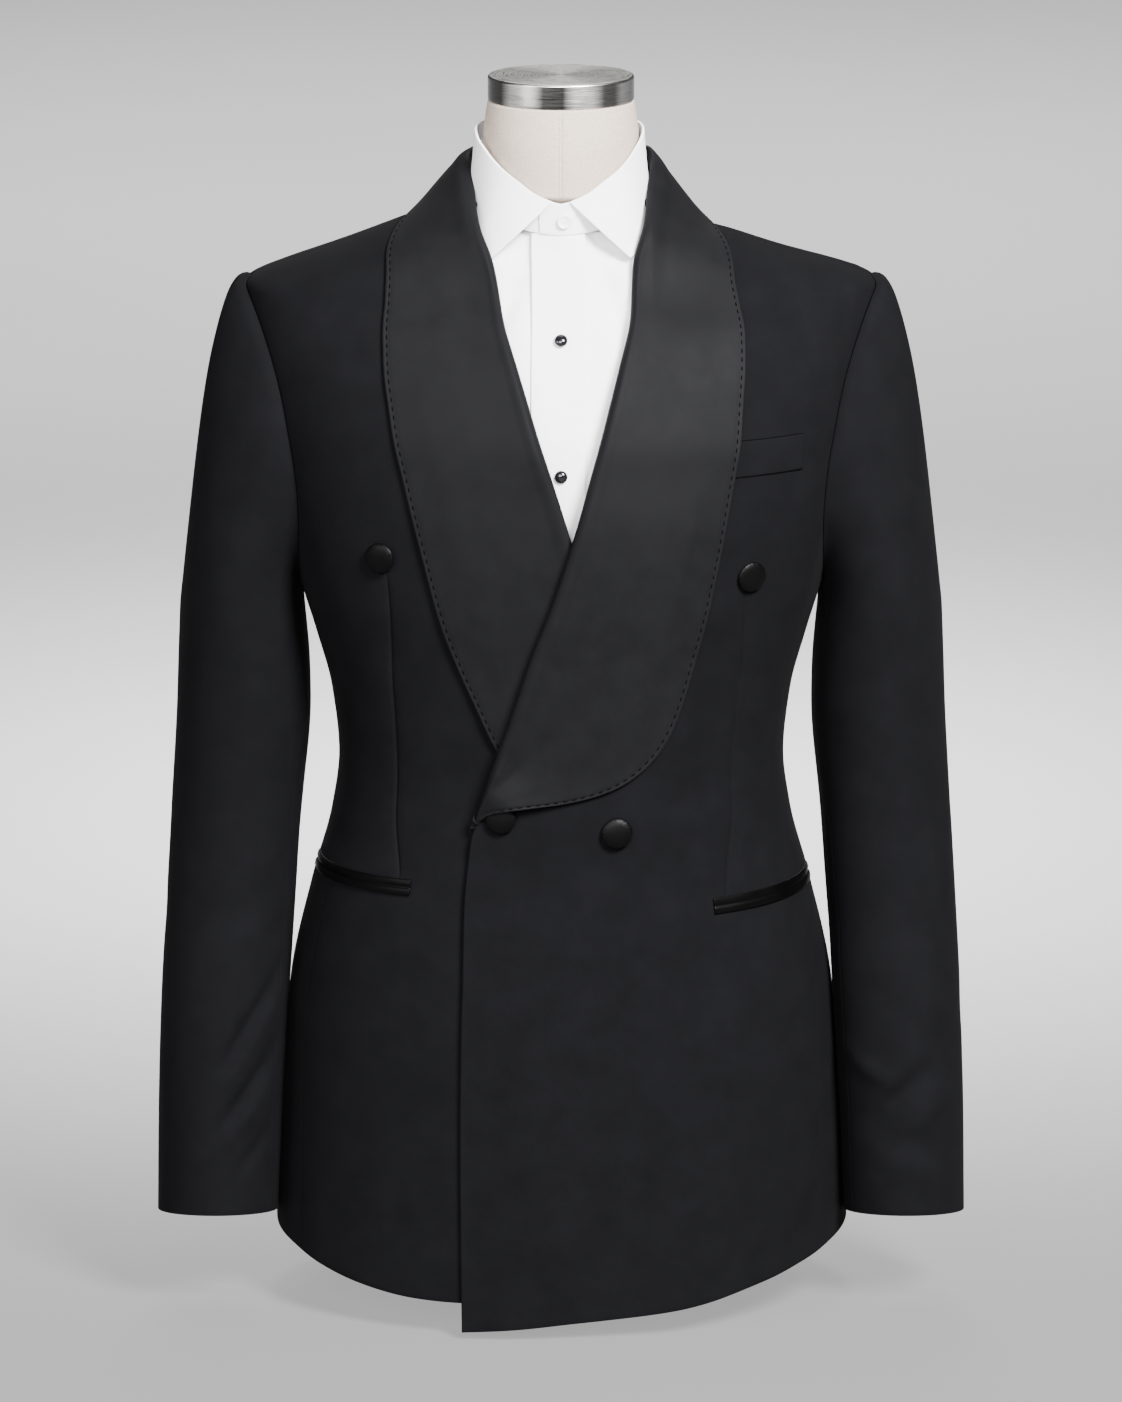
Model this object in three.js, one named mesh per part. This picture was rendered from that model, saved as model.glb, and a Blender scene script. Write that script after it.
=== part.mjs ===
// A double-breasted dinner jacket with a satin shawl collar, worn over a white dress shirt on a
// limbless dress form. Millimetres. +Z is up, the chest faces -Y and the wearer's left is +X.
// A place on the body is a turn and a height: the turn is in degrees round the body from the
// centre front, positive towards the wearer's left, and the height is z above the floor.

import * as THREE from "three";

const { Vector3 } = THREE;
const DEGREE = Math.PI / 180;

// Driving sizes
const woolWall = 1.8;
const satinWall = 2.6;
const shirtWall = 1.0;
const seamGap = 0.3;
const buttonDiameter = 22;
const studDiameter = 9;
const shirtButtonDiameter = 10;
const neckSeamHeight = 787;
const shoulderHeight = 727;
const armhole = {
  middleY: 8,
  middleZ: 619.5,
  halfHeight: 107.5,
  front: 67,
  frontScoop: 0.2,
  back: 66,
  backScoop: 0.1,
};
const hipWelt = { innerTurn: 44.8, outerTurn: 86, height: 11, wall: 1.3 };
const chestWelt = { innerTurn: 44, outerTurn: 62.2, height: 24, wall: 1.2 };
const placket = { left: 15.7, right: -19.1, wall: 1.0, bottom: 300 };
const capSize = { radius: 50.4, bottom: 847, top: 864, edge: 1.6 };
const baseSize = { halfWidth: 98, halfDepth: 78, middleY: 22, height: 59 };

// A smooth curve through the rows of a table, without overshoot, as a function of its first column
function smooth(rows, column) {
  const xs = rows.map((row) => row[0]);
  const ys = rows.map((row) => row[column]);
  const last = xs.length - 1;
  const slopes = xs.slice(1).map((x, i) => (ys[i + 1] - ys[i]) / (x - xs[i]));
  const tangents = xs.map((x, i) => {
    if (i === 0) return slopes[0];
    if (i === last) return slopes[last - 1];
    if (slopes[i - 1] * slopes[i] <= 0) return 0;
    const before = xs[i] - xs[i - 1];
    const after = xs[i + 1] - xs[i];
    const nearWeight = 2 * after + before;
    const farWeight = after + 2 * before;
    return (nearWeight + farWeight) / (nearWeight / slopes[i - 1] + farWeight / slopes[i]);
  });
  return (value) => {
    const x = THREE.MathUtils.clamp(value, xs[0], xs[last]);
    let i = 0;
    while (i < last - 1 && x > xs[i + 1]) i++;
    const step = xs[i + 1] - xs[i];
    const t = (x - xs[i]) / step;
    const start = (1 + 2 * t) * (1 - t) ** 2 * ys[i] + t * (1 - t) ** 2 * step * tangents[i];
    return start + t * t * (3 - 2 * t) * ys[i + 1] + t * t * (t - 1) * step * tangents[i + 1];
  };
}

// One smooth curve for each named column after the first
function curves(names, rows) {
  const columns = names.split(" ").slice(1);
  return Object.fromEntries(columns.map((name, k) => [name, smooth(rows, k + 1)]));
}

// The jacket's level sections: half the width, the depths in front of and behind the middle line,
// where that line lies in y, and how square the section is (2 is an ellipse)
const jacket = curves("z halfWidth front back middle square", [
  [-10, 203.4, 146, 128, 9, 2.3],
  [45, 202.3, 145, 126, 9, 2.3],
  [130, 198.3, 143, 121, 9, 2.3],
  [225, 190.8, 136, 115, 6, 2.3],
  [300, 174.5, 124, 110, 0, 2.35],
  [350, 161, 119, 101, 0, 2.4],
  [392, 155.7, 117, 97, 0, 2.4],
  [440, 160.5, 120, 99, 0, 2.4],
  [478, 170.5, 124, 104, 1, 2.4],
  [520, 183, 129, 111, 2, 2.4],
  [570, 194, 131, 117, 3, 2.4],
  [620, 203, 129, 119, 5, 2.4],
  [665, 210.5, 117, 116, 7, 2.4],
  [700, 217, 98, 103, 8, 2.4],
  [724, 219.5, 80, 88, 8, 2.4],
  [731, 205, 76, 83, 8, 2.4],
  [750, 151, 68, 72, 8, 2.4],
  [768, 104, 63, 63, 7, 2.3],
  [780, 71, 59, 59, 6, 2.2],
  [788, 62, 58, 58, 5, 2],
  [800, 60.5, 57, 60, 4, 2],
  [818, 60, 56, 62, 2, 2],
]);

// The linen neck of the form and the shirt collar's seat round it
const neck = curves("z halfWidth front back middle square", [
  [758, 54.5, 58, 55, 4, 2],
  [775, 54.5, 57, 55, 4, 2],
  [790, 54.2, 56, 55, 3, 2],
  [808, 54, 55, 54, 1, 2],
  [826, 53.6, 53.6, 53.6, 0, 2],
  [838, 52, 52, 52, 0, 2],
  [847, 50.4, 50.4, 50.4, 0, 2],
]);

// How far the shirt and the form's torso lie inside the jacket's outer face
const inside = curves("z shirt form", [
  [-10, 9, 30],
  [130, 9, 26],
  [225, 9, 20],
  [300, 9, 15],
  [640, 9, 17],
  [690, 6.5, 15],
  [706, 4.6, 14],
  [721, 3.4, 14],
  [737, 3.4, 6.4],
  [756, 4.2, 7],
  [776, 4.2, 7.6],
  [786, 4.2, 8],
  [818, 4.2, 8],
]);
const neckHollow = { turn: 32, spread: 22, from: 736, to: 768, depth: 9 };

// The hem's height round the body, on the wearer's left and on the wearer's right
const hem = curves("turn left right", [
  [-28, 4.9, 25.6],
  [-16, 7.4, 25.6],
  [0, 12, 25.6],
  [12.3, 15, 25.6],
  [29.3, 20, 25.6],
  [39.7, 25, 26.5],
  [46.5, 29.4, 28.9],
  [54, 34, 33],
  [63, 41, 40],
  [73, 48, 47.5],
  [88, 53, 53],
  [180, 46, 46],
]);

// The front edges below the lapels and the roll lines above, as turns positive towards each own side
const frontEdge = curves("z left right", [
  [0, -25.9, -25.9],
  [242, -27.9, -27.9],
  [311, -29.4, -29],
  [350, -28.4, -28],
  [373, -25.8, -26.5],
  [416, -20.2, -22],
  [460, -13.2, -16.7],
  [520, -3.3, -8.6],
  [571, 4, -2.4],
  [622, 10.2, 4.9],
  [673, 18.3, 13.6],
  [698, 23.6, 19.4],
  [722, 31, 27.6],
  [742, 36.8, 34.2],
  [761, 42, 41],
  [788, 57, 56],
]);

// How far a front lies over what is under it, and the turn where that ends
const overlap = curves("z left", [
  [-10, 2.7],
  [330, 2.7],
  [374, 7.4],
  [570, 7.4],
  [612, 4.4],
  [700, 0],
  [818, 0],
]);
const overlapFade = { from: 30, to: 52 };

// The seams between front and side and between side and back
const sideSeam = curves("z turn", [
  [-10, 68],
  [66, 68.5],
  [225, 71],
  [392, 73],
  [560, 73],
]);
const backSeam = curves("z turn", [
  [-10, 113],
  [225, 111],
  [392, 106],
  [560, 110],
]);

// Each shawl from its tip at the front edge to the centre back: its fold line and its outer edge
const shawlNames = "along foldTurn foldZ edgeTurn edgeZ";
const shawlRows = {
  left: curves(shawlNames, [
    [0, -25.9, 374, -26, 367.5],
    [0.04, -24.3, 388, -14, 375.5],
    [0.1, -21, 411, 2, 380.5],
    [0.16, -17, 435, 17, 391],
    [0.22, -13.2, 460, 28, 410],
    [0.28, -9.1, 487, 35, 441],
    [0.36, -3.3, 520, 39.5, 495],
    [0.46, 4, 571, 43.2, 560],
    [0.56, 11.5, 630, 46.9, 622],
    [0.64, 19, 676, 50.6, 664],
    [0.72, 29.8, 718, 56.5, 706],
    [0.8, 42, 761, 64.5, 744],
    [0.86, 57, 790, 76, 763.5],
    [0.91, 80, 809, 92, 769],
    [0.95, 115, 813, 125, 765],
    [1, 180, 814, 180, 758],
  ]),
  right: curves(shawlNames, [
    [0, -26.4, 374, -26, 368],
    [0.04, -24.5, 390, -16, 377],
    [0.1, -22, 413, -4, 385.5],
    [0.16, -19.5, 436, 9, 396],
    [0.22, -16.5, 462, 19, 411],
    [0.28, -13, 490, 26.5, 447],
    [0.36, -8, 526, 33.4, 495],
    [0.46, -2.4, 571, 38.7, 560],
    [0.56, 6.1, 630, 44, 622],
    [0.64, 14.2, 676, 48.8, 664],
    [0.72, 26, 718, 55.5, 706],
    [0.8, 41, 761, 65, 744],
    [0.86, 56, 788, 77.4, 763],
    [0.91, 80, 809, 92, 769],
    [0.95, 115, 813, 125, 765],
    [1, 180, 814, 180, 758],
  ]),
};

// The lapel's section from the turned edge over the roll to its outer edge: the share of the way
// across, how far ahead of the roll line, and how far above the front
const lapelSection = [
  { across: 0, ahead: -0.4, above: -1.8 },
  { across: 0, ahead: 0.2, above: 1.6 },
  { across: 0, ahead: -0.8, above: 5 },
  { across: 0, ahead: -4.2, above: 7.2 },
  { across: 0.14, ahead: 0, above: 6.5 },
  { across: 0.32, ahead: 0, above: 5.1 },
  { across: 0.55, ahead: 0, above: 4.3 },
  { across: 0.78, ahead: 0, above: 4 },
  { across: 1, ahead: 0, above: 3.8 },
];

// The collar's section round the neck: the stand by its height over the neck seam, the fold and
// the fall by its share of the way from the fold to the outer edge
const collarSection = [
  { stand: 0, out: -1 },
  { stand: 0.42, out: -1.1 },
  { stand: 0.8, out: -0.8 },
  { stand: 1, out: 2 },
  { fall: 0.1, out: 4.4 },
  { fall: 0.3, out: 4 },
  { fall: 0.55, out: 2.6 },
  { fall: 0.8, out: 1 },
  { fall: 1, out: 0 },
];

// The sleeve below the armhole: its outermost and innermost x, the depth's half and middle, and
// how much higher the front of a section is than its middle
const sleeve = curves("z outer inner halfDepth middle slant", [
  [65, 284.5, 199.8, 51, -33, 9.4],
  [137, 283.5, 196.6, 52, -28, 6.5],
  [209, 281.5, 191.8, 54, -19, 3],
  [281, 277.8, 187, 56, -4, 0],
  [353, 273.5, 181.6, 58, 5, 0],
  [425, 269, 175.2, 62, 8, 0],
  [452, 268, 175.6, 63, 8, 0],
  [497, 266, 179.2, 66, 7, 0],
]);
const sleeveTop = 497;
const sleeveRadius = 55;
const frontSleeveSeam = 150;
const backSleeveSeam = 238;

// Folds of the forearms: where along and round the sleeve, how long, how wide and how deep
const sleeveFolds = {
  right: [
    { z: 214, angle: 92, slope: -0.42, length: 62, width: 15, depth: 3.4 },
    { z: 166, angle: 96, slope: -0.3, length: 58, width: 14, depth: 2.8 },
    { z: 300, angle: 120, slope: 0.5, length: 46, width: 20, depth: 2 },
    { z: 250, angle: 290, slope: 0.4, length: 60, width: 18, depth: 2.2 },
  ],
  left: [
    { z: 152, angle: 112, slope: -0.2, length: 34, width: 11, depth: 2.6 },
    { z: 128, angle: 84, slope: 0.45, length: 52, width: 13, depth: 3 },
    { z: 286, angle: 116, slope: -0.4, length: 48, width: 20, depth: 2 },
    { z: 236, angle: 296, slope: -0.4, length: 56, width: 18, depth: 2.2 },
  ],
};

// Finishes
const finishes = {
  wool: { color: 0x222225, roughness: 0.85, metalness: 0 },
  satin: { color: 0x2e2e31, roughness: 0.4, metalness: 0 },
  cotton: { color: 0xf4f4f6, roughness: 0.8, metalness: 0 },
  pearl: { color: 0xf2f2f2, roughness: 0.3, metalness: 0 },
  onyx: { color: 0x0c0c0e, roughness: 0.2, metalness: 0 },
  linen: { color: 0xdcd3ca, roughness: 0.9, metalness: 0 },
  steel: { color: 0xa3a29e, roughness: 0.35, metalness: 1 },
};

const tuxedo = new THREE.Group();

function addPiece(name, geometry, finish) {
  const mesh = new THREE.Mesh(geometry, new THREE.MeshStandardMaterial(finishes[finish]));
  mesh.name = name;
  tuxedo.add(mesh);
  return mesh;
}

// A closed solid from points and faces of three or four corners, with its faces turned outwards
function solid(points, faces) {
  const corners = faces.flatMap(([a, b, c, d]) => (d === undefined ? [a, b, c] : [a, b, c, a, c, d]));
  let volume = 0;
  for (let i = 0; i < corners.length; i += 3) {
    const [a, b, c] = corners.slice(i, i + 3).map((corner) => points[corner]);
    volume += a.dot(new Vector3().crossVectors(b, c));
  }
  if (volume < 0) corners.reverse();
  const geometry = new THREE.BufferGeometry().setFromPoints(points);
  geometry.setIndex(corners);
  geometry.computeVertexNormals();
  return geometry;
}

// The direction of a row of points at one of them, also at the row's ends
function heading(step, last, pointAt) {
  if (step > 0 && step < last) return pointAt(step + 1).clone().sub(pointAt(step - 1));
  const turnedBack = step === 0 ? 1 : -1;
  const [here, next, afterNext] = [0, 1, 2].map((count) => pointAt(step + turnedBack * count));
  const ahead = next.clone().multiplyScalar(4).addScaledVector(here, -3).sub(afterNext);
  return ahead.multiplyScalar(turnedBack);
}

// A wall from a grid of points: place(t, s) is its outer face, and its inner face lies inwards
function wall(rows, columns, thickness, place) {
  const grid = [];
  for (let i = 0; i <= rows; i++) {
    for (let j = 0; j <= columns; j++) grid.push(place(i / rows, j / columns));
  }
  const at = (i, j) => i * (columns + 1) + j;
  const inner = grid.map((point, k) => {
    const i = Math.floor(k / (columns + 1));
    const j = k % (columns + 1);
    const across = heading(j, columns, (step) => grid[at(i, step)]);
    const up = heading(i, rows, (step) => grid[at(step, j)]);
    return point.clone().addScaledVector(across.cross(up).normalize(), -thickness);
  });
  const under = grid.length;
  const faces = [];
  const rim = (a, b) => faces.push([b, a, a + under, b + under]);
  for (let i = 0; i < rows; i++) {
    for (let j = 0; j < columns; j++) {
      const cell = [at(i, j), at(i, j + 1), at(i + 1, j + 1), at(i + 1, j)];
      const [a, b, c, d] = cell.map((corner) => grid[corner]);
      if (b.distanceTo(d) < a.distanceTo(c)) cell.push(cell.shift());
      faces.push(cell, cell.map((corner) => corner + under).reverse());
    }
    rim(at(i, columns), at(i + 1, columns));
    rim(at(i + 1, 0), at(i, 0));
  }
  for (let j = 0; j < columns; j++) {
    rim(at(0, j), at(0, j + 1));
    rim(at(rows, j + 1), at(rows, j));
  }
  return solid([...grid, ...inner], faces);
}

// A closed lump from rings of points, each with as many as the next, capped at both ends
function lump(rings) {
  const count = rings[0].length;
  const points = rings.flat();
  const centre = (ring) => ring.reduce((sum, point) => sum.add(point), new Vector3()).divideScalar(count);
  points.push(centre(rings[0]), centre(rings.at(-1)));
  const faces = [];
  for (let j = 0; j < count; j++) {
    const next = (j + 1) % count;
    for (let i = 0; i < rings.length - 1; i++) {
      faces.push([i * count + j, i * count + next, (i + 1) * count + next, (i + 1) * count + j]);
    }
    const top = (rings.length - 1) * count;
    faces.push([next, j, points.length - 2], [top + j, top + next, points.length - 1]);
  }
  return solid(points, faces);
}

const mix = THREE.MathUtils.lerp;
const smoothstep = THREE.MathUtils.smoothstep;
const mirrored = (point, side) => (side === "left" ? point : new Vector3(-point.x, point.y, point.z));
const facing = (side) => (side === "left" ? 1 : -1);

// The outer face of a body of level sections at a turn and a height
function skin(turn, z, body = jacket) {
  const sideways = Math.sin(turn * DEGREE);
  const ahead = Math.cos(turn * DEGREE);
  const depth = ahead > 0 ? body.front(z) : body.back(z);
  const square = body.square(z);
  const share = (Math.abs(sideways) / body.halfWidth(z)) ** square + (Math.abs(ahead) / depth) ** square;
  const reach = share ** (-1 / square);
  return new Vector3(sideways * reach, body.middle(z) - ahead * reach, z);
}

// The direction out of a body at a turn and a height
function outward(turn, z, body = jacket) {
  const across = skin(turn + 0.5, z, body).sub(skin(turn - 0.5, z, body));
  const up = skin(turn, z + 0.5, body).sub(skin(turn, z - 0.5, body));
  return across.cross(up).normalize();
}

function lifted(turn, z, lift, body = jacket) {
  return skin(turn, z, body).addScaledVector(outward(turn, z, body), lift);
}

// A distance round the body as degrees of turn, near a height
const asTurn = (distance, z) => distance / (0.8 * jacket.halfWidth(z) * DEGREE);

// The armhole as seen from the side: the angle is 0 at the shoulder, 90 in front, 180 under the arm
function armholeY(angle) {
  const { middleY, front, frontScoop, back, backScoop } = armhole;
  const sideways = Math.sin(angle * DEGREE);
  const up = Math.cos(angle * DEGREE);
  if (sideways > 0) return middleY - front * sideways * (1 - frontScoop * up);
  return middleY - back * sideways * (1 - backScoop * up);
}

// The turn on the body at a height and a y
function turnAt(y, z) {
  const depth = y < jacket.middle(z) ? jacket.front(z) : jacket.back(z);
  const share = Math.min(1, Math.abs(y - jacket.middle(z)) / depth);
  const x = jacket.halfWidth(z) * (1 - share ** jacket.square(z)) ** (1 / jacket.square(z));
  return Math.atan2(x, jacket.middle(z) - y) / DEGREE;
}

// The armhole's turn at a height, in front or behind, with the hole made larger by some distance
function armholeTurn(z, behind, larger = 0) {
  const up = THREE.MathUtils.clamp((z - armhole.middleZ) / (armhole.halfHeight + larger), -1, 1);
  const angle = Math.acos(up) / DEGREE;
  const y = armholeY(behind ? 360 - angle : angle) + (behind ? larger : -larger) * Math.sqrt(1 - up * up);
  return turnAt(y, z);
}

// Where a seam that climbs the body meets the armhole
function meetsArmhole(seamTurn, behind, larger = 0) {
  let low = armhole.middleZ - armhole.halfHeight - larger;
  let high = armhole.middleZ;
  for (let i = 0; i < 40; i++) {
    const z = (low + high) / 2;
    const turn = armholeTurn(z, behind, larger);
    const outside = behind ? seamTurn(z) > turn : seamTurn(z) < turn;
    if (outside) low = z;
    else high = z;
  }
  return low;
}

// The outer border of a front or a back: side seam, armhole, then shoulder seam
function outerBorder(z, behind, larger = 0) {
  const seam = behind ? backSeam.turn : sideSeam.turn;
  if (z > shoulderHeight + larger) return 90;
  if (z < meetsArmhole(seam, behind, larger)) return seam(z);
  return armholeTurn(z, behind, larger);
}

// A turn part of the way between two others, with the steps shorter where the section curves more
function between(fromTurn, toTurn, share, z) {
  const halfWidth = jacket.halfWidth(z);
  const depth = (turn) => (Math.cos(turn * DEGREE) > 0 ? jacket.front(z) : jacket.back(z));
  const whole = (angle, turn) => (turn > 180 ? angle + 360 : angle);
  const phase = (turn) => {
    const aside = Math.sin(turn * DEGREE) / halfWidth;
    return whole(Math.atan2(aside, Math.cos(turn * DEGREE) / depth(turn)) / DEGREE, turn);
  };
  const mixed = mix(phase(fromTurn), phase(toTurn), share);
  const sideways = Math.sin(mixed * DEGREE) * halfWidth;
  return whole(Math.atan2(sideways, Math.cos(mixed * DEGREE) * depth(mixed)) / DEGREE, mixed);
}

// A row's height with the hem let down or drawn up, fading out at the hip
const hemFade = 200;
function hung(z, hemZ, lowest) {
  const share = THREE.MathUtils.clamp((hemFade - z) / (hemFade - lowest), 0, 1);
  return z + (hemZ - lowest) * share * share;
}

// A height between listed levels for a share of the way up
function levelAt(levels, share) {
  const place = share * (levels.length - 1);
  const i = Math.min(Math.floor(place), levels.length - 2);
  return mix(levels[i], levels[i + 1], place - i);
}

// The shirt's and the form's depth inside the jacket, more where the neck meets the chest
function insideBy(name, turn, z) {
  const { from, to, spread, depth } = neckHollow;
  const aside = (Math.abs(turn) - neckHollow.turn) / spread;
  return inside[name](z) + depth * Math.exp(-(aside ** 2)) * smoothstep(z, from, to) * (Math.abs(turn) < 90);
}

function overlapLift(side, turn, z) {
  if (side === "right") return 0;
  return overlap.left(z) * (1 - smoothstep(turn, overlapFade.from, overlapFade.to));
}

const frontLevels = [
  20, 100, 190, 265, 325, 374, 410, 455, 505, 555, 600, 645, 680, 706, 721, 727, 737, 752, 768,
  neckSeamHeight,
];
const backLevels = [
  20, 100, 190, 265, 325, 392, 450, 505, 548, 600, 645, 680, 706, 721, 727, 737, 752, 768,
  neckSeamHeight,
];
const sideLevels = [20, 100, 190, 265, 325, 392, 450, 505];
const panelColumns = { front: 9, side: 5, back: 8 };
const rollSetback = { by: 6.5, from: 355, to: 376 };

function addFront(side) {
  const place = (t, s) => {
    const level = levelAt(frontLevels, t);
    const setback = rollSetback.by * smoothstep(level, rollSetback.from, rollSetback.to);
    const inner = frontEdge[side](level) + asTurn(setback, level);
    const outer = outerBorder(level, false, seamGap / 2) - asTurn(seamGap / 2, level);
    const turn = between(inner, outer, s, level);
    const z = hung(level, hem[side](turn), frontLevels[0]);
    return mirrored(lifted(turn, z, overlapLift(side, turn, z)), side);
  };
  const panel = wall(frontLevels.length - 1, panelColumns.front, facing(side) * woolWall, place);
  addPiece(`front_${side}`, panel, "wool");
}

function addSide(side) {
  const border = (seamTurn, behind) => meetsArmhole(seamTurn, behind, seamGap / 2);
  const place = (t, s) => {
    const seamTurn = (z) => {
      const gap = asTurn(seamGap / 2, z);
      return mix(sideSeam.turn(z) + gap, backSeam.turn(z) - gap, s);
    };
    const behind = seamTurn(armhole.middleZ - armhole.halfHeight) > 90;
    const top = border(seamTurn, behind) - seamGap;
    const level = levelAt([...sideLevels, top], t);
    const z = hung(level, hem[side](seamTurn(level)), sideLevels[0]);
    return mirrored(lifted(seamTurn(z), z, 0), side);
  };
  const panel = wall(sideLevels.length, panelColumns.side, facing(side) * woolWall, place);
  addPiece(`side_${side}`, panel, "wool");
}

function addBack(side) {
  const place = (t, s) => {
    const level = levelAt(backLevels, t);
    const outer = outerBorder(level, true, seamGap / 2) + asTurn(seamGap / 2, level);
    const turn = between(outer, 180 - asTurn(seamGap / 2, level), s, level);
    const z = hung(level, hem[side](turn), backLevels[0]);
    return mirrored(lifted(turn, z, 0), side);
  };
  const panel = wall(backLevels.length - 1, panelColumns.back, facing(side) * woolWall, place);
  addPiece(`back_${side}`, panel, "wool");
}

// How far a sleeve's face sinks in its folds
function foldDepth(side, angle, z) {
  return sleeveFolds[side].reduce((sum, fold) => {
    const round = (angle - fold.angle) * sleeveRadius * DEGREE;
    const over = z - fold.z - fold.slope * round;
    return sum + fold.depth * Math.exp(-((round / fold.length) ** 2) - (over / fold.width) ** 2);
  }, 0);
}

// A point of the sleeve's level sections
function sleeveRing(angle, z, side) {
  const halfWidth = (sleeve.outer(z) - sleeve.inner(z)) / 2;
  const middleX = (sleeve.outer(z) + sleeve.inner(z)) / 2;
  const up = Math.cos(angle * DEGREE);
  const ahead = Math.sin(angle * DEGREE);
  const sunk = foldDepth(side, angle, z);
  const x = middleX + (halfWidth - sunk) * up;
  const y = sleeve.middle(z) - (sleeve.halfDepth(z) - sunk) * ahead;
  return new Vector3(x, y, z + sleeve.slant(z) * ahead);
}

// A point of the sleeve cap, on a curve that leaves the armhole outwards and ends going down
const capReach = { shoulder: 88, side: 60, underarm: 6 };
const sleeveHead = { out: 1, up: 0.5, share: 0.12, spread: 0.1, outwardAtEnd: 30 };
const capStart = { outside: 1.2, off: 1.1, offAtShoulder: 2.3 };
function sleeveCap(angle, share, side) {
  const up = Math.cos(angle * DEGREE);
  const grown = armhole.halfHeight + capStart.outside;
  const z = armhole.middleZ + grown * up;
  const y = armholeY(angle) - capStart.outside * Math.sin(angle * DEGREE);
  const turn = turnAt(y, z);
  const start = lifted(turn, z, capStart.off + capStart.offAtShoulder * Math.max(0, up) ** 4);
  const end = sleeveRing(angle, sleeveTop, side);
  const reach = mix(capReach.side, up > 0 ? capReach.shoulder : capReach.underarm, Math.abs(up));
  const drop = 1.1 * (start.z - end.z) + 4;
  const aside = Math.sign(y - armhole.middleY) * (1 - Math.abs(up));
  const leave = new Vector3(1, 0.35 * aside, 0.02).setLength(reach);
  const arrive = new Vector3(sleeveHead.outwardAtEnd * Math.max(0, up), 0, -drop);
  const t = share;
  const swell = Math.exp(-(((t - sleeveHead.share) / sleeveHead.spread) ** 2));
  const head = t > 0 ? Math.max(0, up) * swell : 0;
  return new Vector3(sleeveHead.out * head, 0, sleeveHead.up * head)
    .addScaledVector(start, (1 + 2 * t) * (1 - t) ** 2)
    .addScaledVector(leave, t * (1 - t) ** 2)
    .addScaledVector(end, t * t * (3 - 2 * t))
    .addScaledVector(arrive, t * t * (t - 1));
}

const capShares = [0, 0.07, 0.16, 0.28, 0.44, 0.64, 0.84];
const sleeveLevels = [sleeveTop, 455, 405, 350, 300, 258, 224, 192, 160, 124, 65];

function addSleevePiece(name, side, fromAngle, toAngle, columns) {
  const rows = capShares.length + sleeveLevels.length - 1;
  const place = (t, s) => {
    const row = Math.round(t * rows);
    const gap = seamGap / 2 / (sleeveRadius * DEGREE);
    const angle = mix(fromAngle + gap, toAngle - gap, s);
    if (row < capShares.length) return mirrored(sleeveCap(angle, capShares[row], side), side);
    return mirrored(sleeveRing(angle, sleeveLevels[row - capShares.length], side), side);
  };
  addPiece(`${name}_${side}`, wall(rows, columns, facing(side) * woolWall, place), "wool");
}

// How far the lapel's tip stands off, over the fastened button and the end of the chest welt
function shawlStandOff(side, turn, z) {
  if (side === "right") return 0;
  const tip = 5.8 * Math.exp(-(((turn + 20) / 14) ** 2) - ((z - 370) / 26) ** 2);
  const welt = 1.9 * Math.exp(-(((turn - 47) / 6) ** 2) - ((z - 618) / 26) ** 2);
  return tip + welt;
}

function shawlPoint(side, share, stop) {
  const row = shawlRows[side];
  const [foldTurn, foldZ] = [row.foldTurn(share), row.foldZ(share)];
  const [edgeTurn, edgeZ] = [row.edgeTurn(share), row.edgeZ(share)];
  const width = skin(foldTurn, foldZ).distanceTo(skin(edgeTurn, edgeZ));
  const hidden = side === "right" ? 1 - smoothstep(share, 0.475, 0.56) : 0;
  const size = Math.min(1, 0.25 + width / 60) * (1 - hidden);
  const lapel = lapelSection[stop];
  const turn = mix(foldTurn, edgeTurn, lapel.across) - asTurn(lapel.ahead * size, foldZ);
  const z = mix(foldZ, edgeZ, lapel.across);
  const flat = lapelSection.at(-1).above;
  const above = lapel.above > flat ? mix(flat, lapel.above, size) : lapel.above;
  const off = overlapLift(side, turn, z) + above + shawlStandOff(side, turn, z) * Math.min(1, stop / 3);
  const onLapel = lifted(turn, z, off);
  const round = smoothstep(share, 0.78, 0.9);
  if (round === 0) return onLapel;
  const collar = collarSection[stop];
  const edge = lifted(edgeTurn, edgeZ, flat);
  let onCollar;
  if (collar.fall === undefined) {
    const height = mix(neckSeamHeight + 0.6, foldZ, collar.stand);
    onCollar = lifted(foldTurn, height, collar.out);
  } else {
    const fold = lifted(foldTurn, foldZ - 2, collarSection[4].out);
    onCollar = fold.lerp(edge, collar.fall).addScaledVector(outward(edgeTurn, edgeZ), collar.out);
  }
  return onLapel.lerp(onCollar, round);
}

const shawlLengths = 34;
const shoulderShare = { ofLengths: 0.6, ofShawl: 0.82 };
const shawlEnd = 1 - 0.0006;

function addShawl(side) {
  const columns = lapelSection.length - 1;
  const { ofLengths, ofShawl } = shoulderShare;
  const place = (t, s) => {
    const past = (t - ofLengths) / (1 - ofLengths);
    const share = past < 0 ? (t / ofLengths) * ofShawl : mix(ofShawl, shawlEnd, past);
    return mirrored(shawlPoint(side, share, Math.round(s * columns)), side);
  };
  addPiece(`shawl_${side}`, wall(shawlLengths, columns, facing(side) * satinWall, place), "satin");
}

// A flat strip on the jacket between two turns and two heights
function addWelt(name, side, size, middleZ, columns, slope, finish) {
  const lift = size.wall + seamGap + 0.1;
  const place = (t, s) => {
    const turn = mix(size.innerTurn, size.outerTurn, s);
    const z = middleZ + (t - 0.5) * size.height + slope * (s - 0.5);
    return mirrored(lifted(turn, z, lift + overlapLift(side, turn, z)), side);
  };
  addPiece(name, wall(2, columns, facing(side) * size.wall, place), finish);
}

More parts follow.
